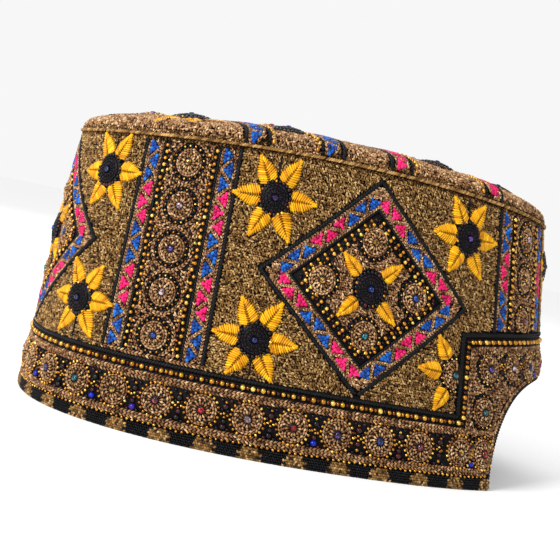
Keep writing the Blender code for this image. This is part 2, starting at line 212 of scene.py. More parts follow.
def shoulder_chart(spots):
    """Chart millimetres (u, s, h) to metres, s inwards from the crown seam.

    A stitch that would reach past the seam stops on it."""
    u, s, h = spots[:, 0], np.maximum(spots[:, 1], 0.0), spots[:, 2]
    along_u = shoulder_surface(u + 0.8, s) - shoulder_surface(u - 0.8, s)
    along_s = shoulder_surface(u, s + 0.6) - shoulder_surface(u, np.maximum(s - 0.6, 0.0))
    out = np.cross(along_u, along_s)
    out /= np.linalg.norm(out, axis=1)[:, None]
    return (shoulder_surface(u, s) + out * h[:, None]) * 0.001


def shoulder_line(y, side, low=0.2, high=10.0):
    """Chart points of the crown's line of one y, from the seam inwards."""
    s = np.linspace(low, high, 14)
    reach = np.interp(s, SHOULDER_FAR, SHOULDER_REACH)
    half = len(RIM_FAR) // 2
    u = np.interp(-y / (SEAM_Y * reach), -RIM_Y[:half + 1], RIM_FAR[:half + 1])
    return line_of(RIM - u if side > 0 else u, s)


def arch_top(u):
    """Height of the arch border's upper edge."""
    return ARCH_TOP - ARCH_SAG * ((u - RIM / 2) / ARCH_BORDER_HALF) ** 2


def arch_row(u):
    """Height of the row of rosettes over the arch."""
    return ARCH_ROW_V - ARCH_ROW_SAG * ((u - RIM / 2) / ARCH_ROW_HALF) ** 2


def arch_edge(u, grow=0.0):
    """Height of the arch cut at u, or 0 beside it."""
    x = np.abs(u - RIM / 2) / (ARCH_HALF + grow)
    inside = np.clip(1 - np.minimum(x, 1.0) ** ARCH_POWER, 0, 1)
    return (ARCH_HEIGHT + grow) * np.sqrt(inside)


def arch_line(grow, low, steps=90):
    """Points of the arch cut from its right foot to its left foot."""
    half = ARCH_HALF + grow
    tall = ARCH_HEIGHT + grow
    turn = np.arcsin(low / tall)
    angle = np.linspace(turn, pi - turn, steps)
    c = np.cos(angle)
    u = RIM / 2 - half * np.sign(c) * np.abs(c) ** (2 / ARCH_POWER)
    return line_of(u, tall * np.sin(angle))


# Materials

def linear(code):
    """An sRGB hex colour as linear red, green, blue, alpha."""
    parts = [int(code[i:i + 2], 16) / 255 for i in (1, 3, 5)]
    return tuple(p / 12.92 if p < 0.04045 else ((p + 0.055) / 1.055) ** 2.4 for p in parts) + (1.0,)


def add_node(tree, kind, links=(), **settings):
    """Add a node, set its values and link (socket, from node, from socket)."""
    node = tree.nodes.new(kind)
    for key, value in settings.items():
        if key.startswith("in_"):
            spot = key[3:]
            node.inputs[int(spot) if spot.isdigit() else spot.replace("_", " ")].default_value = value
        else:
            setattr(node, key, value)
    for socket, source, name in links:
        tree.links.new(source.outputs[name], node.inputs[socket])
    return node


def ramp_stops(node, stops):
    """Give a colour ramp its stops: hex colour, position."""
    ramp = node.color_ramp
    while len(ramp.elements) < len(stops):
        ramp.elements.new(0.5)
    for element, (code, place) in zip(ramp.elements, stops):
        element.position = place
        element.color = linear(code)


def new_material(name, **sockets):
    """A material whose shader has these constants on its sockets."""
    made = bpy.data.materials.new(name)
    made.use_nodes = True
    shader = made.node_tree.nodes["Principled BSDF"]
    for socket, value in sockets.items():
        shader.inputs[socket.replace("_", " ")].default_value = value
    return made, made.node_tree, shader


# Width of a twisted strand in a thread, and how deep it lies, in millimetres
STRAND = 0.45
STRAND_DEPTH = 0.05


def thread(name, stops, roughness, gloss):
    """Dyed embroidery thread: its colour goes by each stitch's own tone."""
    made, tree, shader = new_material(name, Roughness=roughness, Specular_IOR_Level=gloss)
    place = add_node(tree, "ShaderNodeTexCoord")
    tone = add_node(tree, "ShaderNodeAttribute", attribute_name="tone")
    # Twisted strands: a fine noise breaks up each stitch's own tone.
    fibre = add_node(tree, "ShaderNodeTexNoise", [("Vector", place, "Object")],
                     in_Scale=1000 / STRAND, in_Detail=2.0, in_Roughness=0.6)
    mixed = add_node(tree, "ShaderNodeMath", [(0, fibre, "Fac")], operation="MULTIPLY_ADD",
                     in_1=0.5, in_2=-0.25)
    total = add_node(tree, "ShaderNodeMath", [(0, tone, "Fac"), (1, mixed, "Value")], operation="ADD")
    ramp = add_node(tree, "ShaderNodeValToRGB", [("Fac", total, "Value")])
    ramp_stops(ramp, stops)
    tree.links.new(ramp.outputs["Color"], shader.inputs["Base Color"])
    bump = add_node(tree, "ShaderNodeBump", [("Height", fibre, "Fac")],
                    in_Strength=0.6, in_Distance=STRAND_DEPTH * 0.001)
    tree.links.new(bump.outputs["Normal"], shader.inputs["Normal"])
    return made


def plain_cloth(name, dark, light, thread_mm, roughness):
    """Plain woven cotton, drawn with threads as wide as thread_mm."""
    made, tree, shader = new_material(name, Roughness=roughness, Specular_IOR_Level=0.15)
    place = add_node(tree, "ShaderNodeTexCoord")
    across = add_node(tree, "ShaderNodeTexWave", [("Vector", place, "Object")], wave_type="BANDS",
                      bands_direction="Z", in_Scale=1000 / thread_mm / 20, in_Distortion=0.8)
    speck = add_node(tree, "ShaderNodeTexNoise", [("Vector", place, "Object")],
                     in_Scale=1000 / thread_mm / 2, in_Detail=3.0)
    height = add_node(tree, "ShaderNodeMath", [(0, across, "Fac"), (1, speck, "Fac")], operation="MULTIPLY")
    ramp = add_node(tree, "ShaderNodeValToRGB", [("Fac", speck, "Fac")])
    ramp_stops(ramp, [(dark, 0.3), (light, 0.7)])
    tree.links.new(ramp.outputs["Color"], shader.inputs["Base Color"])
    bump = add_node(tree, "ShaderNodeBump", [("Height", height, "Value")],
                    in_Strength=0.5, in_Distance=0.0002)
    tree.links.new(bump.outputs["Normal"], shader.inputs["Normal"])
    return made


def bead_glass(name, stops, metallic, roughness):
    """Seed beads: metal-lined or opaque glass, each bead with its own tone."""
    made, tree, shader = new_material(name, Metallic=metallic, Roughness=roughness, Specular_IOR_Level=0.25,
                                      Coat_Weight=0.3 * metallic, Coat_Roughness=0.08)
    tone = add_node(tree, "ShaderNodeAttribute", attribute_name="tone")
    ramp = add_node(tree, "ShaderNodeValToRGB", [("Fac", tone, "Fac")])
    ramp_stops(ramp, stops)
    tree.links.new(ramp.outputs["Color"], shader.inputs["Base Color"])
    return made


def rhinestone(name, colour, edge):
    """Foil-backed cut glass under a clear, bright surface: its tint is laid out as a painted sparkle of
    bright patches with deep edges.
    """
    made, tree, shader = new_material(name, Metallic=0.5, Roughness=0.12, Specular_IOR_Level=0.3,
                                      Coat_Weight=0.4, Coat_Roughness=0.03)
    place = add_node(tree, "ShaderNodeTexCoord")
    # Painted reflection: bright patches with dark edges stand for the sparkle of the foil behind the
    # facets.
    painted_sparkle = add_node(tree, "ShaderNodeTexVoronoi", [("Vector", place, "Object")], in_Scale=1000 / 0.9)
    ramp = add_node(tree, "ShaderNodeValToRGB", [("Fac", painted_sparkle, "Distance")])
    ramp_stops(ramp, [(colour, 0.15), (edge, 0.6)])
    tree.links.new(ramp.outputs["Color"], shader.inputs["Base Color"])
    return made


# Threads: name, colours by tone, roughness, gloss
THREADS = {
    # Gold-wrapped thread in tiny curled loops: dull gold with dark gaps.
    "ground": ("gold_loop_thread", (("#241406", 0.0), ("#664721", 0.35), ("#937040", 0.65),
                                    ("#c2a068", 1.0)), 0.65, 0.2),
    # Pinker chain thread of the rosettes and the border lines. The crown's ground is sewn in it too, paler
    # than the wall's: painted light from above.
    "chain": ("rose_gold_chain_thread", (("#28140a", 0.0), ("#765030", 0.35), ("#a27a52", 0.65),
                                         ("#d4b084", 1.0)), 0.6, 0.22),
    # Flat twisted braid over the crown seam: dull. Its flat rows are sewn in its dark tones, painted shade
    # on both sides of the raised cord.
    "braid": ("gold_twist_braid", (("#201203", 0.0), ("#5c3d15", 0.35), ("#846030", 0.65),
                                   ("#b8905a", 1.0)), 0.65, 0.18),
    # Floss silk laid side by side in satin stitch: a soft shine.
    "yellow": ("yellow_silk_floss", (("#5e2a02", 0.0), ("#ba7602", 0.3), ("#dca204", 0.65),
                                     ("#fad024", 1.0)), 0.45, 0.22),
    "pink": ("pink_silk_floss", (("#68042a", 0.0), ("#c20852", 0.5), ("#ea2874", 1.0)), 0.5, 0.2),
    "blue": ("blue_silk_floss", (("#041238", 0.0), ("#083884", 0.5), ("#186cc0", 1.0)), 0.5, 0.2),
    # Black laid cord: almost no shine, so that the outlines stay crisp.
    "black": ("black_silk_braid", (("#020203", 0.0), ("#070609", 0.6), ("#15131b", 1.0)), 0.5, 0.15),
    # Wound floss of the bosses: black with a hint of plum on its turns.
    "plum": ("black_plum_floss", (("#020103", 0.0), ("#080407", 0.6), ("#1d1220", 1.0)), 0.45, 0.14),
}
# Beads: name, colours by tone, metallic, roughness
BEADS = {
    # Glass over a metal lining: warm sparks, each bead a little different.
    "gold": ("gold_lined_seed_beads", (("#3c1c08", 0.0), ("#8a5214", 0.35), ("#c48a26", 0.7),
                                       ("#eecb62", 1.0)), 0.8, 0.25),
    # Opaque glass, which fills the gaps with soft dark glints.
    "dark": ("dark_seed_beads", (("#050407", 0.0), ("#140b10", 0.5), ("#48181a", 1.0)), 0.1, 0.25),
    "azure": ("blue_glass_beads", (("#080a42", 0.0), ("#0e2096", 0.55), ("#3c1c74", 1.0)), 0.15, 0.18),
}
# Rhinestones: facet colour, deep colour, laid out as a painted sparkle of bright patches with deep edges.
# Rosettes pick from the first seven.
STONES = {
    "red": ("#dc2018", "#4a0606"),
    "azure": ("#2c56c0", "#050f30"),
    "teal": ("#1c8890", "#06282e"),
    "silver": ("#dcc4c6", "#5c4448"),
    "amber": ("#d8a83c", "#4a2e08"),
    "rose": ("#b0545c", "#3a1016"),
    "violet": ("#5c3c94", "#160c2c"),
    "navy": ("#1a2c72", "#04081c"),
}
ROSETTE_STONES = 7
# Stones of the lower border, from the back round either side
HEM_STONES = ("amber", "violet", "teal", "amber", "rose", "red", "silver", "red", "violet", "azure", "rose")


def make_materials():
    looks = {}
    for key, (name, stops, roughness, gloss) in THREADS.items():
        looks[key] = thread(name, stops, roughness, gloss)
    for key, (name, stops, metallic, roughness) in BEADS.items():
        looks[key] = bead_glass(name, stops, metallic, roughness)
    for key, (bright, deep) in STONES.items():
        looks["stone_" + key] = rhinestone(key + "_foiled_rhinestone", bright, deep)
    # Foundation cloth seen in the gaps: brown under gold, black under beads.
    looks["base"] = plain_cloth("brown_cotton_foundation", "#150c04", "#2c1c0b", 0.6, 0.9)
    looks["night"] = plain_cloth("black_cotton_ribbon", "#050405", "#100c0e", 0.6, 0.8)
    looks["lining"] = plain_cloth("tan_cotton_lining", "#7c6340", "#a4895c", 0.6, 0.88)
    return looks


# Small shapes that repeat, each modelled once lying along X

def taken_shape():
    """Take the active primitive's mesh as arrays and remove its object."""
    item = bpy.context.active_object
    mesh = item.data
    mesh.calc_loop_triangles()
    spots = np.empty(len(mesh.vertices) * 3)
    mesh.vertices.foreach_get("co", spots)
    corners = np.empty(len(mesh.loop_triangles) * 3, dtype=np.int32)
    mesh.loop_triangles.foreach_get("vertices", corners)
    bpy.data.objects.remove(item, do_unlink=True)
    bpy.data.meshes.remove(mesh)
    return spots.reshape(-1, 3), corners.reshape(-1, 3)


def deselect():
    for item in bpy.context.selected_objects:
        item.select_set(False)


def edit_all():
    """Open the active piece for editing with all of it selected."""
    bpy.ops.object.mode_set(mode="EDIT")
    bpy.ops.mesh.select_all(action="SELECT")


def lying_ball(segments, rings):
    """A ball of width 1 whose poles lie along X."""
    deselect()
    bpy.ops.mesh.primitive_uv_sphere_add(segments=segments, ring_count=rings, radius=0.5)
    edit_all()
    bpy.ops.transform.rotate(value=pi / 2, orient_axis="Y", center_override=(0, 0, 0))
    bpy.ops.object.mode_set(mode="OBJECT")
    return taken_shape()


def pointed_grain():
    """A grain of width 1 pointed on every side, with eight faces."""
    deselect()
    bpy.ops.mesh.primitive_cone_add(vertices=4, radius1=0.5, radius2=0, depth=0.5,
                                    end_fill_type="NOTHING", location=(0, 0, 0))
    edit_all()
    bpy.ops.transform.translate(value=(0, 0, 0.25))
    bpy.ops.mesh.duplicate()
    bpy.ops.transform.resize(value=(1, 1, -1), center_override=(0, 0, 0))
    bpy.ops.mesh.select_all(action="SELECT")
    bpy.ops.mesh.remove_doubles(threshold=0.0001)
    bpy.ops.mesh.normals_make_consistent(inside=False)
    bpy.ops.object.mode_set(mode="OBJECT")
    return taken_shape()


def cut_stone():
    """A faceted stone of width 1 standing on its back."""
    deselect()
    bpy.ops.mesh.primitive_cone_add(vertices=8, radius1=0.5, radius2=0.27, depth=0.4,
                                    location=(0, 0, 0))
    edit_all()
    bpy.ops.transform.translate(value=(0, 0, 0.2))
    bpy.ops.mesh.bevel(offset=0.03, segments=1)
    bpy.ops.object.mode_set(mode="OBJECT")
    return taken_shape()


def low_dome(segments):
    """A dome of width 1 and height 1 standing on its rim, closed below."""
    deselect()
    bpy.ops.mesh.primitive_uv_sphere_add(segments=segments, ring_count=6, radius=0.5)
    edit_all()
    bpy.ops.mesh.bisect(plane_co=(0, 0, 0), plane_no=(0, 0, 1), clear_inner=True, use_fill=True)
    bpy.ops.object.mode_set(mode="OBJECT")
    spots, corners = taken_shape()
    return spots * (1, 1, 2), corners


GRAIN = pointed_grain()
STITCH = lying_ball(5, 3)
BEAD = lying_ball(6, 4)
STONE = cut_stone()
DOME = low_dome(12)


def new_object(name, data):
    made = bpy.data.objects.new(name, data)
    bpy.context.scene.collection.objects.link(made)
    return made


class Sewing:
    """Stitches or beads of one kind, gathered flat and then bent on the cap."""

    def __init__(self, name, chart):
        self.name = name
        self.chart = chart
        self.spots = []
        self.corners = []
        self.tones = []
        self.count = 0

    def add(self, shape, a, b, turn=0.0, size=(1, 1, 1), lift=0.5, tone=0.5, dip=0.0):
        """Copies of a shape at chart places a, b, turned, sized and lifted."""
        values = [np.asarray(value, dtype=float) for value in (a, b, turn, lift, tone, dip, *size)]
        a, b, turn, lift, tone, dip, long, wide, tall = np.broadcast_arrays(*map(np.atleast_1d, values))
        if not len(a):
            return
        spots, corners = shape
        x = spots[None, :, 0] * long[:, None]
        y = spots[None, :, 1] * wide[:, None]
        z = spots[None, :, 2] * tall[:, None]
        x, z = (x * np.cos(dip)[:, None] - z * np.sin(dip)[:, None],
                x * np.sin(dip)[:, None] + z * np.cos(dip)[:, None])
        c = np.cos(turn)[:, None]
        s = np.sin(turn)[:, None]
        placed = np.stack((a[:, None] + x * c - y * s, b[:, None] + x * s + y * c,
                           lift[:, None] + z), axis=2).reshape(-1, 3)
        base = self.count + np.arange(len(a))[:, None, None] * len(spots)
        self.spots.append(placed)
        self.corners.append((corners[None] + base).reshape(-1, 3))
        self.tones.append(np.repeat(tone, len(spots)))
        self.count += len(placed)

    def add_faces(self, spots, corners, tone):
        self.spots.append(np.asarray(spots, dtype=float))
        self.corners.append(np.asarray(corners) + self.count)
        self.tones.append(np.full(len(spots), float(tone)))
        self.count += len(spots)

    def sew(self, look, nodes, slot):
        """Make the mesh object, ride it on the cap and stand it for its nodes."""
        spots = self.chart(np.concatenate(self.spots))
        corners = np.concatenate(self.corners)
        mesh = bpy.data.meshes.new(self.name)
        mesh.vertices.add(len(spots))
        mesh.vertices.foreach_set("co", spots.ravel())
        mesh.loops.add(len(corners) * 3)
        mesh.loops.foreach_set("vertex_index", corners.ravel())
        mesh.polygons.add(len(corners))
        mesh.polygons.foreach_set("loop_start", np.arange(len(corners)) * 3)
        mesh.polygons.foreach_set("loop_total", np.full(len(corners), 3))
        mesh.update(calc_edges=True)
        tone = mesh.attributes.new("tone", "FLOAT", "POINT")
        tone.data.foreach_set("value", np.clip(np.concatenate(self.tones), 0, 1))
        mesh.materials.append(look)
        if "rhinestone" not in look.name:
            mesh.shade_smooth()
        made = new_object(self.name, mesh)
        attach(made, "root")
        if nodes:
            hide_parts(*nodes)


class Kit:
    """All the sewing of one piece of the cap: one Sewing a material."""

    def __init__(self, name, chart, nodes, slot):
        self.name = name
        self.chart = chart
        self.nodes = nodes
        self.slot = slot
        self.layers = {}

    def layer(self, look):
        if look not in self.layers:
            self.layers[look] = Sewing(self.name + "_" + look, self.chart)
        return self.layers[look]

    def finish(self, looks):
        for look, sewing in self.layers.items():
            if sewing.count:
                sewing.sew(looks[look], self.nodes, self.slot)


def mixed_tones(count, middle=0.5, spread=0.22):
    """A tone for each of count stitches, spread about the middle one."""
    return np.clip(chance.normal(middle, spread, count), 0, 1)


def kept(keep, a, b):
    """Which of the places a, b may be sewn: all, where nothing limits them."""
    a = np.atleast_1d(a)
    return np.ones(len(a), bool) if keep is None else keep(a, np.atleast_1d(b))


# Lines of stitches

def along(points, pitch):
    """Even places and directions along a chart line, about pitch apart."""
    points = np.asarray(points, dtype=float)
    far = np.concatenate(([0.0], np.cumsum(np.hypot(*np.diff(points, axis=0).T))))
    count = max(int(round(far[-1] / pitch)), 1)
    at = (np.arange(count) + 0.5) * far[-1] / count
    a = np.interp(at, far, points[:, 0])
    b = np.interp(at, far, points[:, 1])
    run_a = np.interp(at + 0.3, far, points[:, 0]) - np.interp(at - 0.3, far, points[:, 0])
    run_b = np.interp(at + 0.3, far, points[:, 1]) - np.interp(at - 0.3, far, points[:, 1])
    return a, b, np.arctan2(run_b, run_a)


def chain(kit, look, points, width=1.2, pitch=1.05, lift=1.0, middle=0.5, tall=0.85):
    """A chain-stitch line: two rows of slanted stitches that meet in a V."""
    a, b, direction = along(points, pitch)
    for side in (-1, 1):
        off = side * width * 0.25
        kit.layer(look).add(GRAIN, a - np.sin(direction) * off, b + np.cos(direction) * off,
                            direction + side * 0.5 + chance.normal(0, 0.12, len(a)),
                            (pitch * 1.65, width * 0.56, tall), lift + chance.normal(0, 0.08, len(a)),
                            mixed_tones(len(a), middle, 0.24))


def cord(kit, look, points, width=1.8, lift=0.95, tall=1.4, pitch=1.15, middle=0.5):
    """A laid cord: a core under close slanted turns."""
    a, b, direction = along(points, pitch)
    kit.layer(look).add(STITCH, a, b, direction + 0.55,
                        (width * 1.3, pitch * 1.3, tall), lift, mixed_tones(len(a), middle, 0.2))
    a, b, direction = along(points, pitch * 2.2)
    kit.layer(look).add(STITCH, a, b, direction, (pitch * 4.2, width * 0.9, tall * 0.86), lift - 0.12, 0.3)


def bead_line(kit, points, pitch=3.6, size=1.6, lift=1.2, spacer=1.7, wander=0.0, look="gold"):
    """Beads in a line, with a narrower darker bead between each two."""
    a, b, direction = along(points, pitch)
    count = len(a)
    side = chance.normal(0, 1, count) * wander
    scale = size * chance.uniform(0.86, 1.1, count)
    kit.layer(look).add(BEAD if size > 1.3 else STITCH, a - np.sin(direction) * side,
                        b + np.cos(direction) * side, direction, (scale * 0.9, scale, scale), lift,
                        mixed_tones(count, 0.66, 0.14))
    if spacer:
        a = a + np.cos(direction) * pitch / 2
        b = b + np.sin(direction) * pitch / 2
        kit.layer("gold").add(STITCH, a, b, direction, (1.25, spacer, 1.3), lift - 0.15,
                              mixed_tones(count, 0.2, 0.25))


def underlay(kit, look, low, high, lift, tone=0.5, thick=0.4):
    """A thin strip of backing between two chart lines, closed all round."""
    low = np.asarray(low, dtype=float)
    high = np.asarray(high, dtype=float)
    count = len(low)
    flat = np.full(count, lift)
    spots = np.concatenate((np.c_[low, flat - thick], np.c_[high, flat - thick],
                            np.c_[high, flat], np.c_[low, flat]))
    faces = []
    for i in range(count - 1):
        for r in range(4):
            p = r * count + i
            q = ((r + 1) % 4) * count + i
            faces += [(p, q + 1, p + 1), (p, q, q + 1)]
    ends = [r * count for r in range(4)]
    faces += [(ends[0], ends[2], ends[1]), (ends[0], ends[3], ends[2])]
    ends = [r * count + count - 1 for r in range(4)]
    faces += [(ends[0], ends[1], ends[2]), (ends[0], ends[2], ends[3])]
    # Outward faces need the strip to run along +a with high above low.
    if np.sum(np.diff(low[:, 0]) * (high[1:, 1] - low[1:, 1])) \
            - np.sum(np.diff(low[:, 1]) * (high[1:, 0] - low[1:, 0])) < 0:
        faces = [face[::-1] for face in faces]
    kit.layer(look).add_faces(spots, faces, tone)


def level(u0, u1, v, step=2.0):
    """A chart line of one height."""
    count = max(int(abs(u1 - u0) / step), 1) + 1
    return line_of(np.linspace(u0, u1, count), np.full(count, float(v)))


def upright(u, v0, v1, step=3.0):
    """A chart line straight up or down."""
    count = max(int(abs(v1 - v0) / step), 1) + 1
    return line_of(np.full(count, float(u)), np.linspace(v0, v1, count))


# Rosettes, bosses, petals and triangles

# Rings of a rosette: stitches, radius, slant from the radius, long, wide, lift
DISC_RINGS = ((15, 2.3, 0.0, 1.8, 0.86, 2.15), (13, 3.3, 0.7, 1.4, 0.8, 1.85),
              (20, 4.05, 1.25, 1.65, 0.9, 1.75), (25, 4.85, 1.85, 1.7, 0.9, 1.3))


def ring_of(count, radius):
    """Places and angles of a ring of stitches, begun anywhere."""
    angle = (np.arange(count) + chance.uniform()) * 2 * pi / count
    return radius * np.cos(angle), radius * np.sin(angle), angle


def rosette(kit, u, v, border="beads", stone=None, keep=None, disc=1.0):
    """A round rosette of crocheted rings about a stone, with its border."""
    def put(look, shape, count, radius, slant, size, lift, middle=0.5, spread=0.22, dip=0.0):
        x, y, angle = ring_of(count, radius)
        a = u + x + chance.normal(0, 0.05, count)
        b = v + y + chance.normal(0, 0.05, count)
        chosen = kept(keep, a, b)
        if np.any(chosen):
            turn = angle + slant + chance.normal(0, 0.1, count)
            kit.layer(look).add(shape, a[chosen], b[chosen], turn[chosen], size, lift,
                                mixed_tones(count, middle, spread)[chosen], dip)

    put("base", DOME, 1, 0.0, 0.0, (9.6 * disc, 9.6 * disc, 1.2), 0.75)
    for count, radius, slant, long, wide, lift in DISC_RINGS:
        put("chain", GRAIN, count, radius * disc, slant, (long, wide, 1.0), lift, 0.55, 0.22, -0.15)
    if border == "beads":
        put("gold", STITCH, 22, 5.8, 0.0, (1.12, 1.1, 1.1), 1.45, 0.6, 0.22)
    else:
        put("black", STITCH, 21, 5.2, 1.8, (1.8, 1.1, 1.1), 1.05)
        put("black", STITCH, 25, 6.05, 1.35, (1.8, 1.05, 1.1), 1.0)
        put("gold", STITCH, 17, 5.65, 0.0, (0.82, 0.8, 0.8), 1.65, 0.55, 0.28)
    if border == "ring":
        put("chain", GRAIN, 32, 6.85, 2.0, (1.75, 0.8, 0.9), 1.2)
        put("chain", GRAIN, 35, 7.5, 1.15, (1.7, 0.75, 0.9), 1.1)
    if not kept(keep, u, v)[0]:
        return
    if stone is None:
        stone = tuple(STONES)[int(chance.integers(ROSETTE_STONES))]
    kit.layer("plum").add(DOME, u, v, 0, (3.9, 3.9, 0.9), 1.7, 0.4)
    kit.layer("stone_" + stone).add(STONE, u, v, chance.uniform(0, 1), (2.9, 2.9, 2.0), 2.1)


# Rings of a boss: stitches, share of its radius, slant from the radius, length
BOSS_RINGS = ((26, 0.97, 1.4, 1.9), (19, 0.66, 1.4, 1.8), (15, 0.5, 1.75, 1.7), (16, 0.33, 0.0, 1.9))


def boss(kit, u, v, radius=BOSS, top=3.0, stone="azure"):
    """A wound dark boss: rings of floss in a ring of beads, about a dark stone."""
    kit.layer("plum").add(DOME, u, v, 0, (radius * 2, radius * 2, top - 1.0), 1.0, 0.2)
    for count, share, slant, long in BOSS_RINGS:
        x, y, angle = ring_of(count, radius * share)
        rise = (top - 1.0) * sqrt(1 - share * share) - 0.1
        kit.layer("plum").add(STITCH, u + x, v + y, angle + slant + chance.normal(0, 0.12, count),
                              (long, 0.95, 0.9), 1.05 + rise, mixed_tones(count, 0.5, 0.28),
                              -0.75 * share * cos(slant))
    x, y, angle = ring_of(24, radius - 0.95)
    bright = chance.uniform(size=24) < 0.3
    for look, chosen, size, middle in (("gold", bright, 1.15, 0.35), ("dark", ~bright, 1.45, 0.35)):
        kit.layer(look).add(BEAD, (u + x)[chosen], (v + y)[chosen], angle[chosen], (size, size, size),
                            top - 0.95, mixed_tones(int(chosen.sum()), middle, 0.3))
    kit.layer("stone_" + stone).add(STONE, u, v, 0.3, (2.6, 2.6, 1.7), top + 0.05)


PETAL_SHARE = (0.0, 0.15, 0.3, 0.5, 0.7, 0.85, 1.0)
PETAL_WIDTH = (0.86, 0.98, 1.0, 0.9, 0.64, 0.36, 0.06)


def petal(kit, u, v, turn, root=BOSS - 0.9, tip=PETAL_TIP, half=3.55, keep=None, lift=1.5):
    """A pointed satin-stitch petal: slanted stitches on both sides of a rib, with painted shade along the
    rib and in the gaps between the stitches.
    """
    count = 12
    share = (np.arange(count) + 0.5) / count
    c, s = cos(turn), sin(turn)
    long_way = tip - root
    lean = long_way * 0.17
    for side in (-1, 1):
        edge = root + long_way * share + lean * 0.5
        reach = side * half * np.interp((edge - root) / long_way, PETAL_SHARE, PETAL_WIDTH)
        reach = reach * chance.uniform(0.93, 1.07, count) + side * 0.2
        start = edge - lean
        mid = (start + edge) / 2
        slant = np.arctan2(reach, edge - start)
        a = u + mid * c - reach / 2 * s
        b = v + mid * s + reach / 2 * c
        chosen = kept(keep, a, b)
        kit.layer("yellow").add(STITCH, a[chosen], b[chosen], (turn + slant)[chosen],
                                ((np.hypot(edge - start, reach) * 1.08)[chosen], 1.0, 1.3), lift,
                                (0.53 + chance.normal(0, 0.13, count))[chosen], -0.24)
    # Dark grains along the rib, between the two rows of stitches: painted shade in its furrow.
    rib = np.linspace(root + 0.6, tip - 2.6, 9)
    a = u + rib * c
    b = v + rib * s
    chosen = kept(keep, a, b)
    kit.layer("yellow").add(GRAIN, a[chosen], b[chosen], turn, (1.4, 0.45, 0.5), lift + 0.38, 0.1)
    middle = root + long_way * 0.42
    if kept(keep, u + middle * c, v + middle * s)[0]:
        # A dark dome under the stitches: painted shade in the gaps between them.
        kit.layer("yellow").add(DOME, u + middle * c, v + middle * s, turn,
                                (long_way * 0.86, half * 1.6, 1.0), lift - 1.0, 0.1)
        kit.layer("yellow").add(STITCH, u + (tip - 0.9) * c, v + (tip - 0.9) * s, turn,
                                (2.2, 0.9, 0.9), lift - 0.25, 0.6)


# Lobes of a stitched triangle: along, across toward its point, turn
LOBES = ((-1.75, -1.05, 0.35), (-0.6, -1.1, 1.35), (0.6, -1.1, 1.79), (1.75, -1.05, 2.79),
         (-0.95, -0.05, 0.9), (0.95, -0.05, 2.24), (0.0, 0.15, 1.57), (0.0, 1.2, 1.57))


def triangle_strip(kit, start, end, count, first, width=6.2, trim=0.0):
    """Threes of pink and blue stitched triangles between chain zigzags."""
    start = np.asarray(start, dtype=float)
    end = np.asarray(end, dtype=float)
    far = float(np.hypot(*(end - start)))
    step = (end - start) / far
    out = np.array((-step[1], step[0]))
    heading = float(np.arctan2(step[1], step[0]))
    pitch = (far - 2 * trim) / count
    half = width / 2 - 0.5
    core = start + (end - start) * np.linspace(0, 1, 14)[:, None]
    underlay(kit, "base", core - out * half, core + out * half, 0.85, 0.3)
    for edge in (-1, 1):
        chain(kit, "chain", [start + out * edge * half, end + out * edge * half], 1.1, 1.1, 1.1, 0.5)
    # The zigzag runs from each triangle's point to the next one's.
    points = [start + step * (trim + pitch * (i + 0.5)) + out * (1 if i % 2 else -1) * (half - 0.3)
              for i in range(-1, count + 1)]
    points[0] = (points[0] + points[1]) / 2
    points[-1] = (points[-1] + points[-2]) / 2
    for p, q in zip(points, points[1:]):
        chain(kit, "chain", [p, q], 1.1, 1.0, 1.15, 0.55, 0.9)
    grow = min(pitch / 4.8, 1.15)
    looks = ("pink", "blue") if first == "pink" else ("blue", "pink")
    for i in range(count):
        flip = 1 if i % 2 else -1
        centre = start + step * (trim + pitch * (i + 0.5))
        for x, y, turn in LOBES:
            a, b = centre + step * (x * grow + chance.normal(0, 0.06)) + out * (y - 0.35) * flip
            kit.layer(looks[(i // 3) % 2]).add(STITCH, a, b, heading + turn * flip, (1.7, 1.5, 1.3), 1.25,
                                               mixed_tones(1, 0.55), 0.1)


def ground(kit, chart_box, wanted, look="ground", spacing=0.94, lift=0.8, middle=0.5):
    """Dense curly loops over all of the box's area that is wanted."""
    low_a, high_a, low_b, high_b = chart_box
    a, b = np.meshgrid(np.arange(low_a, high_a, spacing), np.arange(low_b, high_b, spacing * 0.82))
    rows = np.repeat(np.arange(a.shape[0]), a.shape[1])
    a = a.ravel() + (rows % 2) * spacing / 2 + chance.normal(0, 0.15, rows.size)
    b = b.ravel() + chance.normal(0, 0.15, rows.size)
    chosen = wanted(a, b)
    a, b, rows = a[chosen], b[chosen], rows[chosen]
    swirl = np.sin(a * 0.23 + 1.3 * np.sin(b * 0.17)) + np.sin(b * 0.31 + a * 0.11)
    turn = -0.5 + np.where(rows % 2, 0.55, -0.55) + swirl * 0.4 + chance.normal(0, 0.4, len(a))
    kit.layer(look).add(GRAIN, a, b, turn, (chance.uniform(1.5, 2.2, len(a)), 0.82, 1.05),
                        lift + chance.normal(0, 0.12, len(a)), mixed_tones(len(a), middle, 0.25),
                        chance.normal(0, 0.2, len(a)))


# Where the wall's ground stitches go

def away_from_flower(a, b, fu, fv):
    """Places outside a flower's boss and its six petals."""
    far = np.hypot(a - fu, b - fv)
    angle = np.mod(np.arctan2(b - fv, a - fu), pi / 3)
    angle = np.minimum(angle, pi / 3 - angle)
    width = 3.0 * np.interp((far - BOSS) / (PETAL_TIP - BOSS), PETAL_SHARE, PETAL_WIDTH)
    return (far > BOSS - 0.6) & ((far > PETAL_TIP - 0.8) | (np.sin(angle) * far > width - 0.7))


def in_diamond(a, b, u, half_u):
    return np.abs(a - u) / half_u + np.abs(b - DIAMOND_V) / DIAMOND_HALF_V < 1


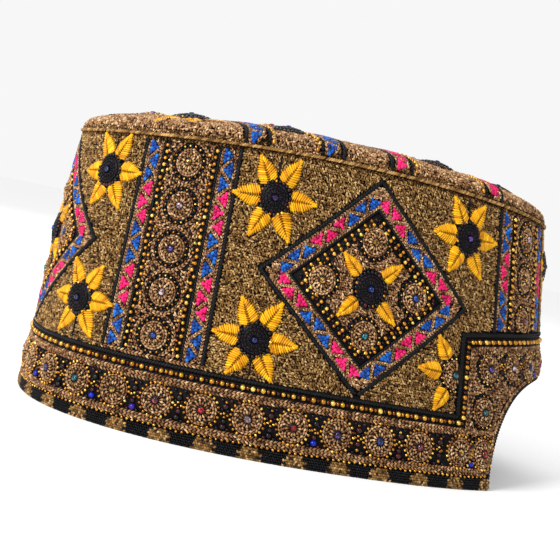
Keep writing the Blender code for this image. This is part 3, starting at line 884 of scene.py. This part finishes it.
def wall_ground_wanted(a, b):
    """Wall places that no border, band, diamond or flower covers."""
    u = np.mod(a, RIM)
    m = np.minimum(u, RIM - u)
    free = (b < HEIGHT - 1.9) & (b > BORDER_TOP - 1.1)
    free &= ~((m > STEP_U - 0.4) & (b < arch_top(m) + 0.3))
    for centre in (BAND_U, BAND_FRONT_U):
        free &= np.abs(m - centre) > BAND_HALF
    for centre, half in ((0.0, BACK_HALF_U), (DIAMOND_U, DIAMOND_HALF_U), (RIM / 2, FRONT_HALF_U)):
        free &= ~in_diamond(m, b, centre, half)
    for number, fu, fv in FLOWERS:
        free &= away_from_flower(m, b, fu, fv)
    return free


def make_wall_ground(looks):
    # Panels between the bands: name, from, to along the rim
    panels = (("ground_back", -54, 54), ("ground_right", 86, 201), ("ground_front", 232, 328),
              ("ground_left", 359, 474))
    for name, low, high in panels:
        kit = Kit(name, wall_chart, [], "embroidered_cloth")
        ground(kit, (low, high, BORDER_TOP - 0.9, HEIGHT), wall_ground_wanted, spacing=0.945)
        kit.finish(looks)


# The cloth under the embroidery

def bent_grid(name, columns, rows, place):
    """A primitive grid whose points are moved to place(i, j), seam closed."""
    deselect()
    bpy.ops.mesh.primitive_grid_add(x_subdivisions=columns, y_subdivisions=rows, size=2)
    made = bpy.context.active_object
    made.name = name
    spots = np.empty(len(made.data.vertices) * 3)
    made.data.vertices.foreach_get("co", spots)
    spots = spots.reshape(-1, 3)
    i = np.rint((spots[:, 0] + 1) / 2 * columns).astype(int)
    j = np.rint((spots[:, 1] + 1) / 2 * rows).astype(int)
    made.data.vertices.foreach_set("co", place(i, j).ravel())
    edit_all()
    bpy.ops.mesh.remove_doubles(threshold=0.00001)
    bpy.ops.mesh.normals_make_consistent(inside=False)
    bpy.ops.object.mode_set(mode="OBJECT")
    bpy.ops.object.shade_smooth()
    return made


def give_cloth(item, looks, nodes):
    """Thicken the open surface inwards, with the lining on its inner side."""
    # Normals that point away from the cap's middle point outwards.
    middle = Vector((0, 0, 0.04))
    total = sum(face.normal.dot(face.center - middle) for face in item.data.polygons)
    if total < 0:
        edit_all()
        bpy.ops.mesh.flip_normals()
        bpy.ops.object.mode_set(mode="OBJECT")
    item.data.materials.append(looks["base"])
    item.data.materials.append(looks["lining"])
    shell = item.modifiers.new("cloth", "SOLIDIFY")
    shell.thickness = CLOTH * 0.001
    shell.offset = -1
    shell.use_even_offset = True
    shell.material_offset = 1
    shell.material_offset_rim = 1
    bpy.context.view_layer.objects.active = item
    bpy.ops.object.modifier_apply(modifier="cloth")
    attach(item, "root")
    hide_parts(*nodes)


def make_wall_cloth(looks):
    """The wall's cloth, over the arch and then round the back to its start."""
    arch = arch_line(1.1, HEM_TOP)
    around = np.linspace(arch[-1, 0], arch[0, 0] + RIM, 190)[1:-1]
    u = np.concatenate((arch[:, 0], around, [arch[0, 0] + RIM]))
    low = np.concatenate((arch[:, 1], np.full(len(around), HEM_TOP), [HEM_TOP]))
    rows = 8

    def place(i, j):
        v = low[i] + (HEIGHT - 0.4 - low[i]) * j / rows
        return wall_chart(np.stack((u[i], v, np.full(len(i), 0.15)), axis=1))

    give_cloth(bent_grid("wall_cloth", len(u) - 1, rows, place), looks, ["side_wall"])


def make_crown_cloth(looks):
    """The crown's cloth: rings from the seam in, closer where it curves."""
    columns = 120
    far = np.concatenate(([0.0], np.geomspace(0.4, 70.0, 20)))
    rings = len(far)

    def place(i, j):
        u = i * RIM / columns
        s = far[np.minimum(j, rings - 1)]
        spots = shoulder_surface(u, s)
        centre = np.array((0.0, LEAN - CENTRE_Y, HEIGHT + CROWN_RISE))
        spots[j == rings] = centre
        return spots * 0.001

    give_cloth(bent_grid("crown_cloth", columns, rings, place), looks, ["crown_panel"])


# The borders

def border_chain(kit, line, middle):
    """A chain-stitch line of the borders."""
    chain(kit, "chain", line, 1.35, 1.35, 1.15, middle, 1.0)


def foot_beads(kit, u0, u1):
    """The fine beads at the lower border's foot."""
    bead_line(kit, level(u0, u1, FOOT_BEADS_V), 1.9, 1.15, 1.2, 0, 0.16)


def hem_lines(kit, u0, u1):
    """The backing and the stitched lines of the lower border."""
    underlay(kit, "night", level(u0, u1, 4.0), level(u0, u1, BORDER_TOP - 0.1), 0.75)
    foot_beads(kit, u0, u1)
    for v, middle in ((5.8, 0.45), (6.95, 0.4), (19.3, 0.42), (20.6, 0.5)):
        border_chain(kit, level(u0, u1, v), middle)
    bead_line(kit, level(u0, u1, GOLD_BEADS_V), 3.5, 2.0, 1.35)
    cord(kit, "black", level(u0, u1, BLACK_CORD_V), 1.9, 1.0, 1.5)
    # Each upright band ends in a chain-stitch line on the black cord.
    for side in (-1, 1):
        for centre in (BAND_U, BAND_FRONT_U):
            low, high = sorted((side * (centre - BAND_HALF), side * (centre + BAND_HALF)))
            if u0 < low and high < u1:
                chain(kit, "chain", level(low, high, BAND_FOOT_V), 1.35, 1.35, 1.15, 0.45, 0.95)


# Beads between two rosettes: look, size, along, up, low tone, high tone
GAP_BEADS = (("gold", 1.1, 0.0, 4.1, 0.3, 0.9), ("dark", 2.2, 0.0, 2.6, 0.2, 0.7),
             ("gold", 1.05, -0.95, 0.1, 0.4, 0.9), ("gold", 1.05, 0.95, 0.0, 0.4, 0.9),
             ("gold", 1.0, 0.0, 0.85, 0.5, 1.0), ("gold", 0.95, 0.05, -0.65, 0.2, 0.8),
             ("dark", 1.7, 0.0, -1.9, 0.2, 1.0), ("dark", 1.2, -1.5, 4.9, 0.0, 0.8),
             ("dark", 1.2, 1.5, 4.9, 0.0, 0.8), ("dark", 1.2, -1.7, -4.7, 0.0, 0.8),
             ("dark", 1.2, 1.7, -4.7, 0.0, 0.8), ("dark", 1.1, -1.2, 1.6, 0.0, 0.8),
             ("dark", 1.1, 1.2, 1.6, 0.0, 0.8))

# The bead at the foot of such a gap: share of the gaps up to here, look, size
LOW_BEADS = ((0.55, "azure", 2.3), (0.8, "dark", 2.1), (1.0, "gold", 1.2))


def between_rosettes(kit, u, v):
    """The beads that fill the gap between two rosettes of a border."""
    for look, size, x, y, low, high in GAP_BEADS:
        kit.layer(look).add(BEAD if size > 1.5 else STITCH, u + x + chance.normal(0, 0.12),
                            v + y + chance.normal(0, 0.12), 0, (size, size, size), 1.2,
                            chance.uniform(low, high))
    pick = chance.uniform()
    look, size = next((look, size) for share, look, size in LOW_BEADS if pick < share)
    kit.layer(look).add(BEAD, u, v - 3.85, 0, (size, size, size * 0.9), 1.2, chance.uniform(0.1, 1))


def make_hem_border(looks):
    kit = Kit("hem_border", wall_chart, ["hem_border"], "rosette_embroidery")
    hem_lines(kit, -HEM_END, HEM_END)
    count = len(HEM_STONES)
    places = sorted([0.0] + [side * (HEM_FIRST + HEM_STEP * k) for k in range(count) for side in (-1, 1)])
    for u in places:
        stone = HEM_STONES[int(round(max(abs(u) - HEM_FIRST, 0) / HEM_STEP))]
        rosette(kit, u, ROW_V + 0.2, "beads", stone)
    for p, q in zip(places, places[1:]):
        between_rosettes(kit, (p + q) / 2, ROW_V)
    for side in (-1, 1):
        between_rosettes(kit, side * 176.6, ROW_V)
    kit.finish(looks)


ARCH_GAP = 1.2


def make_arch_border(looks):
    """The border that steps up beside the arch and runs over it."""
    kit = Kit("arch_border", wall_chart, ["arch_border"], "rosette_embroidery")
    left = STEP_U

    def on_cloth(a, b):
        return b > arch_edge(a, ARCH_GAP)

    v = np.linspace(4.1, BORDER_TOP, 30)
    reach = (1 - (v / (ARCH_HEIGHT + ARCH_GAP)) ** 2) ** (1 / ARCH_POWER)
    inner = RIM / 2 - (ARCH_HALF + ARCH_GAP) * reach
    u = np.linspace(left, RIM - left, 180)
    low = np.maximum(arch_edge(u, ARCH_GAP), BORDER_TOP)
    underlay(kit, "night", line_of(u, low), line_of(u, arch_top(u) + 0.1), 0.75)

    def stepped(inset):
        """The border's outer line: up the step, over the arch and down."""
        across = np.linspace(left + inset, RIM - left - inset, 160)
        over = line_of(across, arch_top(across) - inset)
        foot = 26.6 - inset
        return np.concatenate(([[left + inset, foot]], over, [[RIM - left - inset, foot]]))

    across = [197.6 + i * 13.733 for i in range(13)]
    rosettes = [(u, arch_row(u)) for u in across]
    for p, q in zip(rosettes, rosettes[1:]):
        between_rosettes(kit, (p[0] + q[0]) / 2, (p[1] + q[1]) / 2 + 0.5)
    for side in (-1, 1):
        def place(u, side=side):
            return u if side < 0 else RIM - u

        start = np.full(len(v), HEM_END)
        underlay(kit, "night", line_of(place(start), v), line_of(place(inner), v), 0.75)
        edge = place(left)
        foot = place(HEM_END)
        sign = -side
        cord(kit, "black", level(foot, edge + sign, BLACK_CORD_V), 1.9, 1.0, 1.5)
        bead_line(kit, level(foot, edge + sign * 3.4, GOLD_BEADS_V), 3.5, 1.9, 1.35)
        for v_line, inset in ((20.6, 5.7), (19.5, 6.8)):
            border_chain(kit, level(foot, edge + sign * inset, v_line), 0.45)
        stop = place(RIM / 2 - ARCH_HALF - 2.0)
        foot_beads(kit, foot, stop)
        chain(kit, "chain", level(place(188.6), place(202.6), 20.5), 1.3, 1.35, 1.15, 0.45, 1.0)
        for v_line in (5.9, 6.9):
            border_chain(kit, level(foot, stop, v_line), 0.42)
        rosettes += [(place(185.6), ROW_V + 0.2), (place(197.0), ROW_V + 0.2), (place(196.0), 27.8)]
        between_rosettes(kit, place(191.4), ROW_V)
    cord(kit, "black", stepped(0.9), 2.0, 1.05, 1.5)
    bead_line(kit, stepped(3.4), 3.5, 1.9, 1.35)
    border_chain(kit, stepped(5.7), 0.48)
    border_chain(kit, stepped(7.0), 0.42)
    for u, v in rosettes:
        rosette(kit, u, v, "beads" if v < 20 else "dots", None, on_cloth)
    chain(kit, "chain", arch_line(2.0, 6.0), 1.3, 1.05, 1.1, 0.5, 1.0)

    def fill_wanted(a, b):
        m = np.minimum(a, RIM - a)
        free = (b > arch_edge(a, 3.0)) & (m > STEP_U + 7.8) & (b > 18.6) & (b < arch_top(a) - 7.8)
        for ru, rv in rosettes:
            free &= np.hypot(a - ru, b - rv) > 6.7
        return free

    ground(kit, (HEM_END, RIM - HEM_END, 18, 60), fill_wanted, "chain", 1.0, 0.95)
    kit.finish(looks)


def make_arch_edge(looks):
    """The black cord that binds the arch cut, inside and out."""
    kit = Kit("arch_edge", wall_chart, ["arch_edge"], "black_braid")
    for lift in (0.7, -0.9):
        cord(kit, "black", arch_line(0.75, 1.5), 1.5, lift, 1.7)
    underlay(kit, "black", arch_line(0.2, 1.5), arch_line(1.4, 1.5), 0.8, 0.3, 3.2)
    kit.finish(looks)


def make_hem_binding(looks):
    """The folded ribbon that binds the rim, sewn over in gold and black checks."""
    kit = Kit("hem_binding", wall_chart, ["hem_binding"], "checked_binding")
    half = RIM / 2 - ARCH_HALF
    # The binding's section: out, up
    section = ((-2.7, 0.0), (0.7, 0.0), (0.95, 0.5), (1.0, 2.1), (0.85, 3.7), (0.5, HEM_TOP),
               (-2.7, HEM_TOP), (-3.0, 2.1))
    count = 200
    u = np.linspace(-half, half, count)
    spots = np.concatenate([np.c_[u, np.full(count, v), np.full(count, h)] for h, v in section])
    sides = len(section)
    faces = []
    for i in range(count - 1):
        for r in range(sides):
            p = r * count + i
            q = ((r + 1) % sides) * count + i
            faces += [(p, p + 1, q + 1), (p, q + 1, q)]
    for r in range(1, sides - 1):
        faces.append((0, r * count, (r + 1) * count))
        faces.append((count - 1, (r + 1) * count + count - 1, r * count + count - 1))
    kit.layer("night").add_faces(spots, faces, 0.4)

    # Checked stitches: gold blocks with ragged ends between black blocks.
    for row in range(5):
        v = 0.45 + row * 0.82
        a = np.arange(-half + 0.5, half - 0.3, 0.85) + (row % 2) * 0.42
        far = np.abs(a)
        nearest = np.where(far < 9.0, 2.3, 17.5 + 15.2 * np.maximum(np.rint((far - 17.5) / 15.2), 0))
        wide = 3.6 + (0.5, -0.6, 0.4, -0.4, 0.3)[row] if row < 4 else 2.4
        gold = np.abs(far - nearest) < wide
        out = 0.95 + 0.3 * sin(pi * (row + 0.6) / 5.2)
        turn = np.where((np.arange(len(a)) + row) % 2, 0.65, -0.65) + chance.normal(0, 0.3, len(a))
        for look, chosen, middle in (("ground", gold, 0.42), ("black", ~gold, 0.5)):
            total = int(chosen.sum())
            kit.layer(look).add(GRAIN, a[chosen], np.full(total, v), turn[chosen],
                                (chance.uniform(1.5, 2.0, total), 1.1, 1.0), out,
                                mixed_tones(total, middle, 0.25))
    kit.finish(looks)


def make_crown_braid(looks):
    """The tan braid on the crown seam: a slanted cord between flat rows."""
    kit = Kit("crown_braid", wall_chart, ["crown_braid"], "tan_braid")
    underlay(kit, "base", level(0, RIM, HEIGHT - 2.1), level(0, RIM, HEIGHT + 1.6), 0.7, 0.4)
    # The flat rows are sewn in dark tones: painted shade on both sides of the raised middle cord.
    for v in (HEIGHT - 1.6, HEIGHT + 0.9):
        chain(kit, "braid", level(0, RIM, v), 1.1, 1.35, 0.9, 0.25, 1.0)
    a, b, direction = along(level(0, RIM, HEIGHT - 0.4), 0.95)
    kit.layer("braid").add(STITCH, a, b, direction + 0.45, (2.3, 0.95, 1.5), 1.5,
                           mixed_tones(len(a), 0.64, 0.24))
    kit.finish(looks)


# The bands and diamonds

def make_band(looks, name, u, foot, rows, count, first, stones):
    """An upright band with a column of rosettes down its middle.

    From the outside in: a cord, the triangles, a fine cord, gold beads, dark
    beads and gold beads."""
    kit = Kit(name, wall_chart, [name], "rosette_embroidery")
    top = HEIGHT - 2.0
    steps = np.linspace(u - BAND_HALF, u + BAND_HALF, 13)
    underlay(kit, "night", line_of(steps, foot(steps)), line_of(steps, np.full(13, top)), 0.7)

    def line(across, inset=0.0):
        return [(u + across, float(foot(np.array([u + across]))[0]) + inset), (u + across, top - inset)]

    for side in (-1, 1):
        cord(kit, "black", line(side * 18.4), 1.9, 1.0, 1.5)
        triangle_strip(kit, *line(side * 14.5, 0.4), count, first)
        cord(kit, "black", line(side * 10.8), 1.2, 0.95, 1.0, 0.85)
        bead_line(kit, line(side * 9.5, 0.6), 2.2, 1.6, 1.25, 0, 0.3)
        bead_line(kit, line(side * 8.4, 0.9), 2.9, 1.2, 1.3, 0, 0.3, "dark")
        bead_line(kit, line(side * 8.0, 1.8), 3.3, 1.3, 1.35, 0, 0.35)

    def keep(a, b):
        return (b > foot(a) + 0.3) & (b < top - 0.2)

    for v, stone in zip(rows, stones):
        rosette(kit, u, v, "ring", stone, keep, 0.92)

    def wanted(a, b):
        free = (np.abs(a - u) < 8.5) & (b > foot(a) + 0.4) & (b < top)
        for v in rows:
            free &= np.hypot(a - u, b - v) > 8.35
        return free

    ground(kit, (u - 9, u + 9, 26, top), wanted, "chain", 1.0, 0.95)
    kit.finish(looks)


def make_bands(looks):
    """Two bands each side: one stands on the lower border, one on the arch's."""
    def hem_foot(a):
        return np.full(np.shape(a), BORDER_TOP)

    def arch_foot(a):
        return arch_top(a) + 0.2

    for side, mirror in (("right", -1), ("left", 1)):
        make_band(looks, "band_back_" + side, -mirror * BAND_U, hem_foot,
                  [33.8 + 14.7 * i for i in range(5)], 15, "blue",
                  ("azure", "silver", "violet", "silver", "amber"))
        make_band(looks, "band_front_" + side, RIM / 2 + mirror * (RIM / 2 - BAND_FRONT_U), arch_foot,
                  [92.4, 77.4, 62.4], 9, "blue", ("silver", "amber", "rose"))


# How far in from a diamond's edge its strip of triangles runs
STRIP_INSET = 4.5


def make_diamond(looks, name, u, half_u, floor):
    """A braid-edged square on its corner, with four rosettes and a boss.

    From the outside in: a cord, the triangles, a fine cord, gold beads in
    pairs over dark stitches. Where the floor lies high, only the part above
    it is sewn."""
    kit = Kit(name, wall_chart, [name], "rosette_embroidery")
    upper_only = floor > 40
    slope = sqrt(half_u ** 2 + DIAMOND_HALF_V ** 2) / (half_u * DIAMOND_HALF_V)

    def sides(inset):
        share = 1 - inset * slope
        ring = np.array([(half_u * share, 0), (0, DIAMOND_HALF_V * share), (-half_u * share, 0),
                         (0, -DIAMOND_HALF_V * share)]) + (u, DIAMOND_V)
        pairs = [(ring[i], ring[(i + 1) % 4]) for i in range(2 if upper_only else 4)]
        lines = []
        for p, q in pairs:
            low, high = (p, q) if p[1] < q[1] else (q, p)
            if low[1] < floor + 0.4:
                low = low + (high - low) * (floor + 0.4 - low[1]) / (high[1] - low[1])
            lines.append((low, high) if p[1] < q[1] else (high, low))
        return lines

    steps = np.linspace(-half_u + 0.3, half_u - 0.3, 43)
    rise = DIAMOND_HALF_V * (1 - np.abs(steps) / half_u)
    low = np.maximum(DIAMOND_V - rise, floor)
    high = np.maximum(DIAMOND_V + rise, low + 0.05)
    underlay(kit, "night", line_of(u + steps, low), line_of(u + steps, high), 0.7)
    for p, q in sides(0.9):
        cord(kit, "black", [p, q], 1.9, 1.0, 1.55)
    for i, (p, q) in enumerate(sides(STRIP_INSET)):
        triangle_strip(kit, p, q, 9, "blue" if i % 2 else "pink", 5.9, 1.1)
    tip = 1 - STRIP_INSET * slope

    def corners(a, b):
        across = np.abs(a - u) / half_u + np.abs(b - DIAMOND_V) / DIAMOND_HALF_V
        past = (np.abs(a - u) > half_u * tip - 0.7) | (np.abs(b - DIAMOND_V) > DIAMOND_HALF_V * tip - 0.7)
        return past & (across < 1 - 1.9 * slope) & (b > floor + 0.5)

    ground(kit, (u - half_u, u + half_u, 25, 99), corners, "chain", 0.9, 1.15)
    for p, q in sides(7.9):
        cord(kit, "black", [p, q], 1.2, 0.95, 1.0, 0.85)
    for p, q in sides(10.1):
        ends = (p + (q - p) * 0.03, q + (p - q) * 0.03)
        a, b, direction = along(ends, 3.0)
        for off, size in ((0.78, 1.7), (-0.78, 1.45)):
            kit.layer("gold").add(BEAD, a - np.sin(direction) * off, b + np.cos(direction) * off, direction,
                                  (size * 0.85, size, size), 1.2, mixed_tones(len(a), 0.62, 0.16))
        a, b, direction = along([p, q], 1.5)
        kit.layer("dark").add(STITCH, a, b, direction, (0.9, 1.3, 1.0), 1.1, mixed_tones(len(a), 0.5, 0.3))

    squeeze = half_u / DIAMOND_HALF_U
    spots = ((u - 18.0 * squeeze, DIAMOND_V, "amber"), (u + 18.0 * squeeze, DIAMOND_V, "azure"),
             (u, DIAMOND_V - 15.5, "teal"), (u, DIAMOND_V + 15.4, "amber"))

    def keep(a, b):
        return b > floor + 0.5

    for a, b, stone in spots:
        if b > floor:
            rosette(kit, a, b, "dots", stone, keep, 0.94)
    for turn in (40, 138, 224, 317):
        if not upper_only or turn < 180:
            petal(kit, u, DIAMOND_V, radians(turn), 6.4, 15.0, 2.5, keep)
    if upper_only:
        rosette(kit, u, DIAMOND_V, "dots", "teal", keep, 0.97)
    else:
        boss(kit, u, DIAMOND_V, 6.5, 3.0, "azure")

    inner = 1 - 12.2 * slope

    def wanted(a, b):
        far = np.hypot(a - u, b - DIAMOND_V)
        free = (np.abs(a - u) / half_u + np.abs(b - DIAMOND_V) / DIAMOND_HALF_V < inner) & (b > floor + 0.5)
        for ru, rv, stone in spots:
            free &= np.hypot(a - ru, b - rv) > 6.6
        return free & (far > 6.3)

    ground(kit, (u - half_u, u + half_u, 26, 99), wanted, "chain", 0.95, 0.85, 0.45)
    kit.finish(looks)


def make_diamonds(looks):
    floor = BORDER_TOP - 0.2
    for side, u, half_u, low in (("right", DIAMOND_U, DIAMOND_HALF_U, floor),
                                 ("left", RIM - DIAMOND_U, DIAMOND_HALF_U, floor),
                                 ("back", 0.0, BACK_HALF_U, floor),
                                 ("front", RIM / 2, FRONT_HALF_U, ARCH_TOP + 0.3)):
        make_diamond(looks, "diamond_" + side, u, half_u, low)


# The flowers

def make_flower(looks, name, u, v, chart, top, keep=None, cut_side=0):
    """Six satin petals about a boss, or the half of them that the arch leaves."""
    petals = Kit(name + "_petals", chart, [name + "_petals"], "yellow_satin_stitch")
    for i in range(6):
        turn = pi / 3 * i
        if cut_side * cos(turn) < 0.3:
            tip = PETAL_TIP + chance.uniform(-0.5, 0.4)
            root, half = (6.6, 3.0) if cut_side else (BOSS - 0.9, 3.55)
            petal(petals, u, v, turn + chance.normal(0, 0.03), root, tip, half, keep, top - 1.6)
    petals.finish(looks)
    middle = Kit(name + "_boss", chart, [name + "_boss"], "dark_bead_boss")
    if keep is None:
        boss(middle, u, v, BOSS, top, "navy" if chance.uniform() < 0.6 else "violet")
    else:
        rosette(middle, u, v, "dots", "teal", keep, 0.97)
    middle.finish(looks)


def make_wall_flowers(looks):
    """The wall's flowers, and the fine black stems that run from them."""
    stems = Kit("flower_stems", wall_chart, [], "black_braid")
    for mirror in (False, True):
        for number, m, v in FLOWERS:
            u = RIM - m if mirror else m
            keep = None
            if m < STEP_U < m + BOSS and v < 50:
                def keep(a, b, mirror=mirror):
                    return (RIM - a if mirror else a) < STEP_U - 1.2
            number = number + len(FLOWERS) if mirror else number
            cut_side = 0 if keep is None else (-1 if mirror else 1)
            top = 2.5 if m > BAND_FRONT_U else 3.1
            make_flower(looks, f"flower_{number:02d}", u, v, wall_chart, top, keep, cut_side)
            if keep is None:
                line = upright(u, v + 6.4, HEIGHT - 2.4) if v > 60 else upright(u, BORDER_TOP, v - 6.4)
                cord(stems, "black", line, 0.75, 1.25, 0.8, 0.8)
    stems.finish(looks)


# The crown

# Where the shoulder chart ends, inwards from the seam, and its reach there
SHOULDER = 8.0
INNER = float(np.interp(SHOULDER, SHOULDER_FAR, SHOULDER_REACH))
CROWN_ROSETTES = tuple((x, (low + high) / 2) for low, high, colour in CROSS_BANDS
                       for x in (-22.5, 0.0, 22.5)) + ((0.0, 66.0), (0.0, -68.0))
CROWN_BOSSES = tuple((x, (low + high) / 2) for low, high, colour in CROSS_BANDS for x in (-45.5, 45.5))


def crown_limit(y):
    """Half the crown's width at y, up to where the shoulder chart begins."""
    power = POWER_FRONT if y < 0 else POWER_BACK
    b = abs(y) / (HALF_LENGTH * SEAM_Y)
    return HALF_WIDTH * SEAM_X * max(INNER ** power - b ** power, 0.0) ** (1 / power)


def crown_ground_wanted(a, b):
    """Crown places that no band or motif covers."""
    free = crown_reach(a, b) < INNER + 0.005
    for low, high, colour in CROSS_BANDS:
        free &= (b < low) | (b > high) | ((b > low + 11.0) & (b < high - 11.0))
    for x, y in CROWN_ROSETTES:
        free &= np.hypot(a - x, b - y) > 7.0
    for x, y in CROWN_BOSSES:
        free &= np.hypot(a - x, b - y) > BOSS - 0.6
    for x, y in CROWN_FLOWERS:
        free &= away_from_flower(np.abs(a), b, x, y)
    return free & (np.hypot(a, b) > 6.4)


def shoulder_ground_wanted(a, b):
    """The same for the rounded edge, where a runs round the rim."""
    u = np.mod(a, RIM)
    reach = np.interp(b, SHOULDER_FAR, SHOULDER_REACH)
    x, y = rim_point(u)
    x = np.abs(x * SEAM_X * reach)
    y = y * SEAM_Y * reach
    free = np.ones(len(a), bool)
    for low, high, colour in CROSS_BANDS:
        for edge, turn in ((low, 1), (high, -1)):
            inside = (y - edge) * turn
            free &= (inside < 0.0) | (inside > 8.6)
    for fx, fy in CROWN_FLOWERS:
        free &= away_from_flower(x, y, fx, fy)
    for fx, fy in CROWN_BOSSES:
        free &= np.hypot(x - abs(fx), y - fy) > BOSS - 0.6
    return free


def make_crown_lattice(looks):
    """The crown's cross bands, spine, rosettes and ground.

    The last few millimetres before the seam are sewn on the shoulder chart."""
    kit = Kit("crown_lattice", crown_chart, ["crown_lattice"], "rosette_embroidery")
    edge = Kit("crown_lattice_edge", shoulder_chart, ["crown_lattice"], "rosette_embroidery")

    def across(y):
        limit = crown_limit(y)
        return [(-limit, y), (limit, y)]

    def cross_cord(y, width):
        cord(kit, "black", across(y), width, 1.0, 1.4)
        for side in (-1, 1):
            cord(edge, "black", shoulder_line(y, side, 0.4, SHOULDER + 0.4), width, 1.0, 1.4)

    for low, high, colour in CROSS_BANDS:
        for y, inward in ((low, 1), (high, -1)):
            cross_cord(y + inward * 0.9, 1.9)
            cross_cord(y + inward * 8.2, 1.0)
            middle = y + inward * 4.6
            triangle_strip(kit, *across(middle), int(crown_limit(middle) / 2.45), colour, 5.9)
            for side in (-1, 1):
                line = shoulder_line(middle, side, 1.0, SHOULDER)
                triangle_strip(edge, line[0], line[-1], 2, colour, 5.9)
            row = y + inward * 9.6
            bead_line(kit, across(row), 2.1, 1.5, 1.2, 0, 0.3)
            for side in (-1, 1):
                bead_line(edge, shoulder_line(row, side, 0.8, SHOULDER), 2.0, 1.5, 1.2, 0, 0.3)
    for end in (1, -1):
        low = CROSS_BANDS[0][1] if end > 0 else -CROSS_BANDS[1][0]
        for side in (-1, 1):
            outer, inner = side * SPINE_HALF, side * (SPINE_HALF - 1.7)
            cord(kit, "black", upright(outer, end * low, end * SPINE_END), 1.6, 1.0, 1.3)
            chain(kit, "chain", upright(inner, end * low, end * SPINE_END), 1.4)
    for x, y in CROWN_ROSETTES:
        rosette(kit, x, y, "dots")
    for x, y in CROWN_BOSSES:
        boss(kit, x, y, BOSS - 0.4, 2.3, "violet")
    # The crown's ground is sewn in the paler chain thread, not the wall's ground thread: painted light on
    # the top and the shoulder, which face the light from above.
    ground(kit, (-64, 64, -92, 92), crown_ground_wanted, "chain", 1.02, 0.8, 0.52)
    ground(edge, (0, RIM, 0.2, SHOULDER + 0.3), shoulder_ground_wanted, "chain", 1.0, 0.75, 0.56)
    kit.finish(looks)
    edge.finish(looks)


def make_crown(looks):
    make_crown_lattice(looks)
    medal = Kit("crown_medallion", crown_chart, ["crown_medallion"], "dark_bead_boss")
    boss(medal, 0, 0, 6.6, 2.4, "azure")
    medal.finish(looks)
    number = 0
    for x, y in CROWN_FLOWERS:
        for side in (-1, 1):
            number += 1
            make_flower(looks, f"crown_flower_{number}", side * x, y, crown_chart, 2.35)


# The studio

# Lamps: name, place, size in metres, power
LAMPS = (("key", (-0.5, 0.72, 0.5), 0.3, 9.0), ("fill", (-0.8, -0.5, 0.4), 0.7, 0.3),
         ("back", (0.9, 0.2, 0.8), 0.8, 4.0))


def make_studio():
    """A white floor and sky, with the key lamp at the camera's left."""
    deselect()
    bpy.ops.mesh.primitive_plane_add(size=8.0, location=(0, 0, 0))
    floor = bpy.context.active_object
    floor.name = "studio_floor"
    # Matt white paper, which keeps the shadow soft and the ground pale.
    paper, tree, shader = new_material("white_paper_floor", Base_Color=linear("#fbfbfb"), Roughness=0.9,
                                       Specular_IOR_Level=0.1)
    floor.data.materials.append(paper)
    world = bpy.data.worlds.new("studio")
    bpy.context.scene.world = world
    world.use_nodes = True
    sky = world.node_tree.nodes["Background"]
    sky.inputs["Color"].default_value = linear("#ffffff")
    sky.inputs["Strength"].default_value = 0.93
    for name, place, size, power in LAMPS:
        lamp = bpy.data.lights.new(name, "AREA")
        lamp.size = size
        lamp.energy = power
        made = new_object(name, lamp)
        made.location = place
        made.rotation_euler = (Vector((0, 0, 0.05)) - Vector(place)).to_track_quat("-Z", "Y").to_euler()
    bpy.context.scene.view_settings.view_transform = "Standard"


def make_camera():
    """The photograph's view: close, from the wearer's right, rolled a little."""
    azimuth = -0.2851
    elevation = 0.0558
    roll = 0.2099
    ahead = Vector((cos(azimuth) * cos(elevation), sin(azimuth) * cos(elevation), -sin(elevation)))
    right = ahead.cross(Vector((0, 0, 1))).normalized()
    up = right.cross(ahead)
    side = right * cos(roll) + up * sin(roll)
    top = -right * sin(roll) + up * cos(roll)
    lens = bpy.data.cameras.new("camera")
    lens.sensor_width = 36.0
    lens.lens = 74.45
    lens.clip_start = 0.01
    made = new_object("camera", lens)
    turned = Matrix((side, top, -ahead)).transposed().to_4x4()
    eye = (-0.42365, 0.13681 - CENTRE_Y * 0.001, 0.08002)
    made.matrix_world = Matrix.Translation(eye) @ turned
    bpy.context.scene.camera = made


def build():
    make_camera()
    make_studio()
    looks = make_materials()
    make_wall_cloth(looks)
    make_crown_cloth(looks)
    make_wall_ground(looks)
    make_hem_binding(looks)
    make_hem_border(looks)
    make_arch_border(looks)
    make_arch_edge(looks)
    make_crown_braid(looks)
    make_bands(looks)
    make_diamonds(looks)
    make_wall_flowers(looks)
    make_crown(looks)


build()
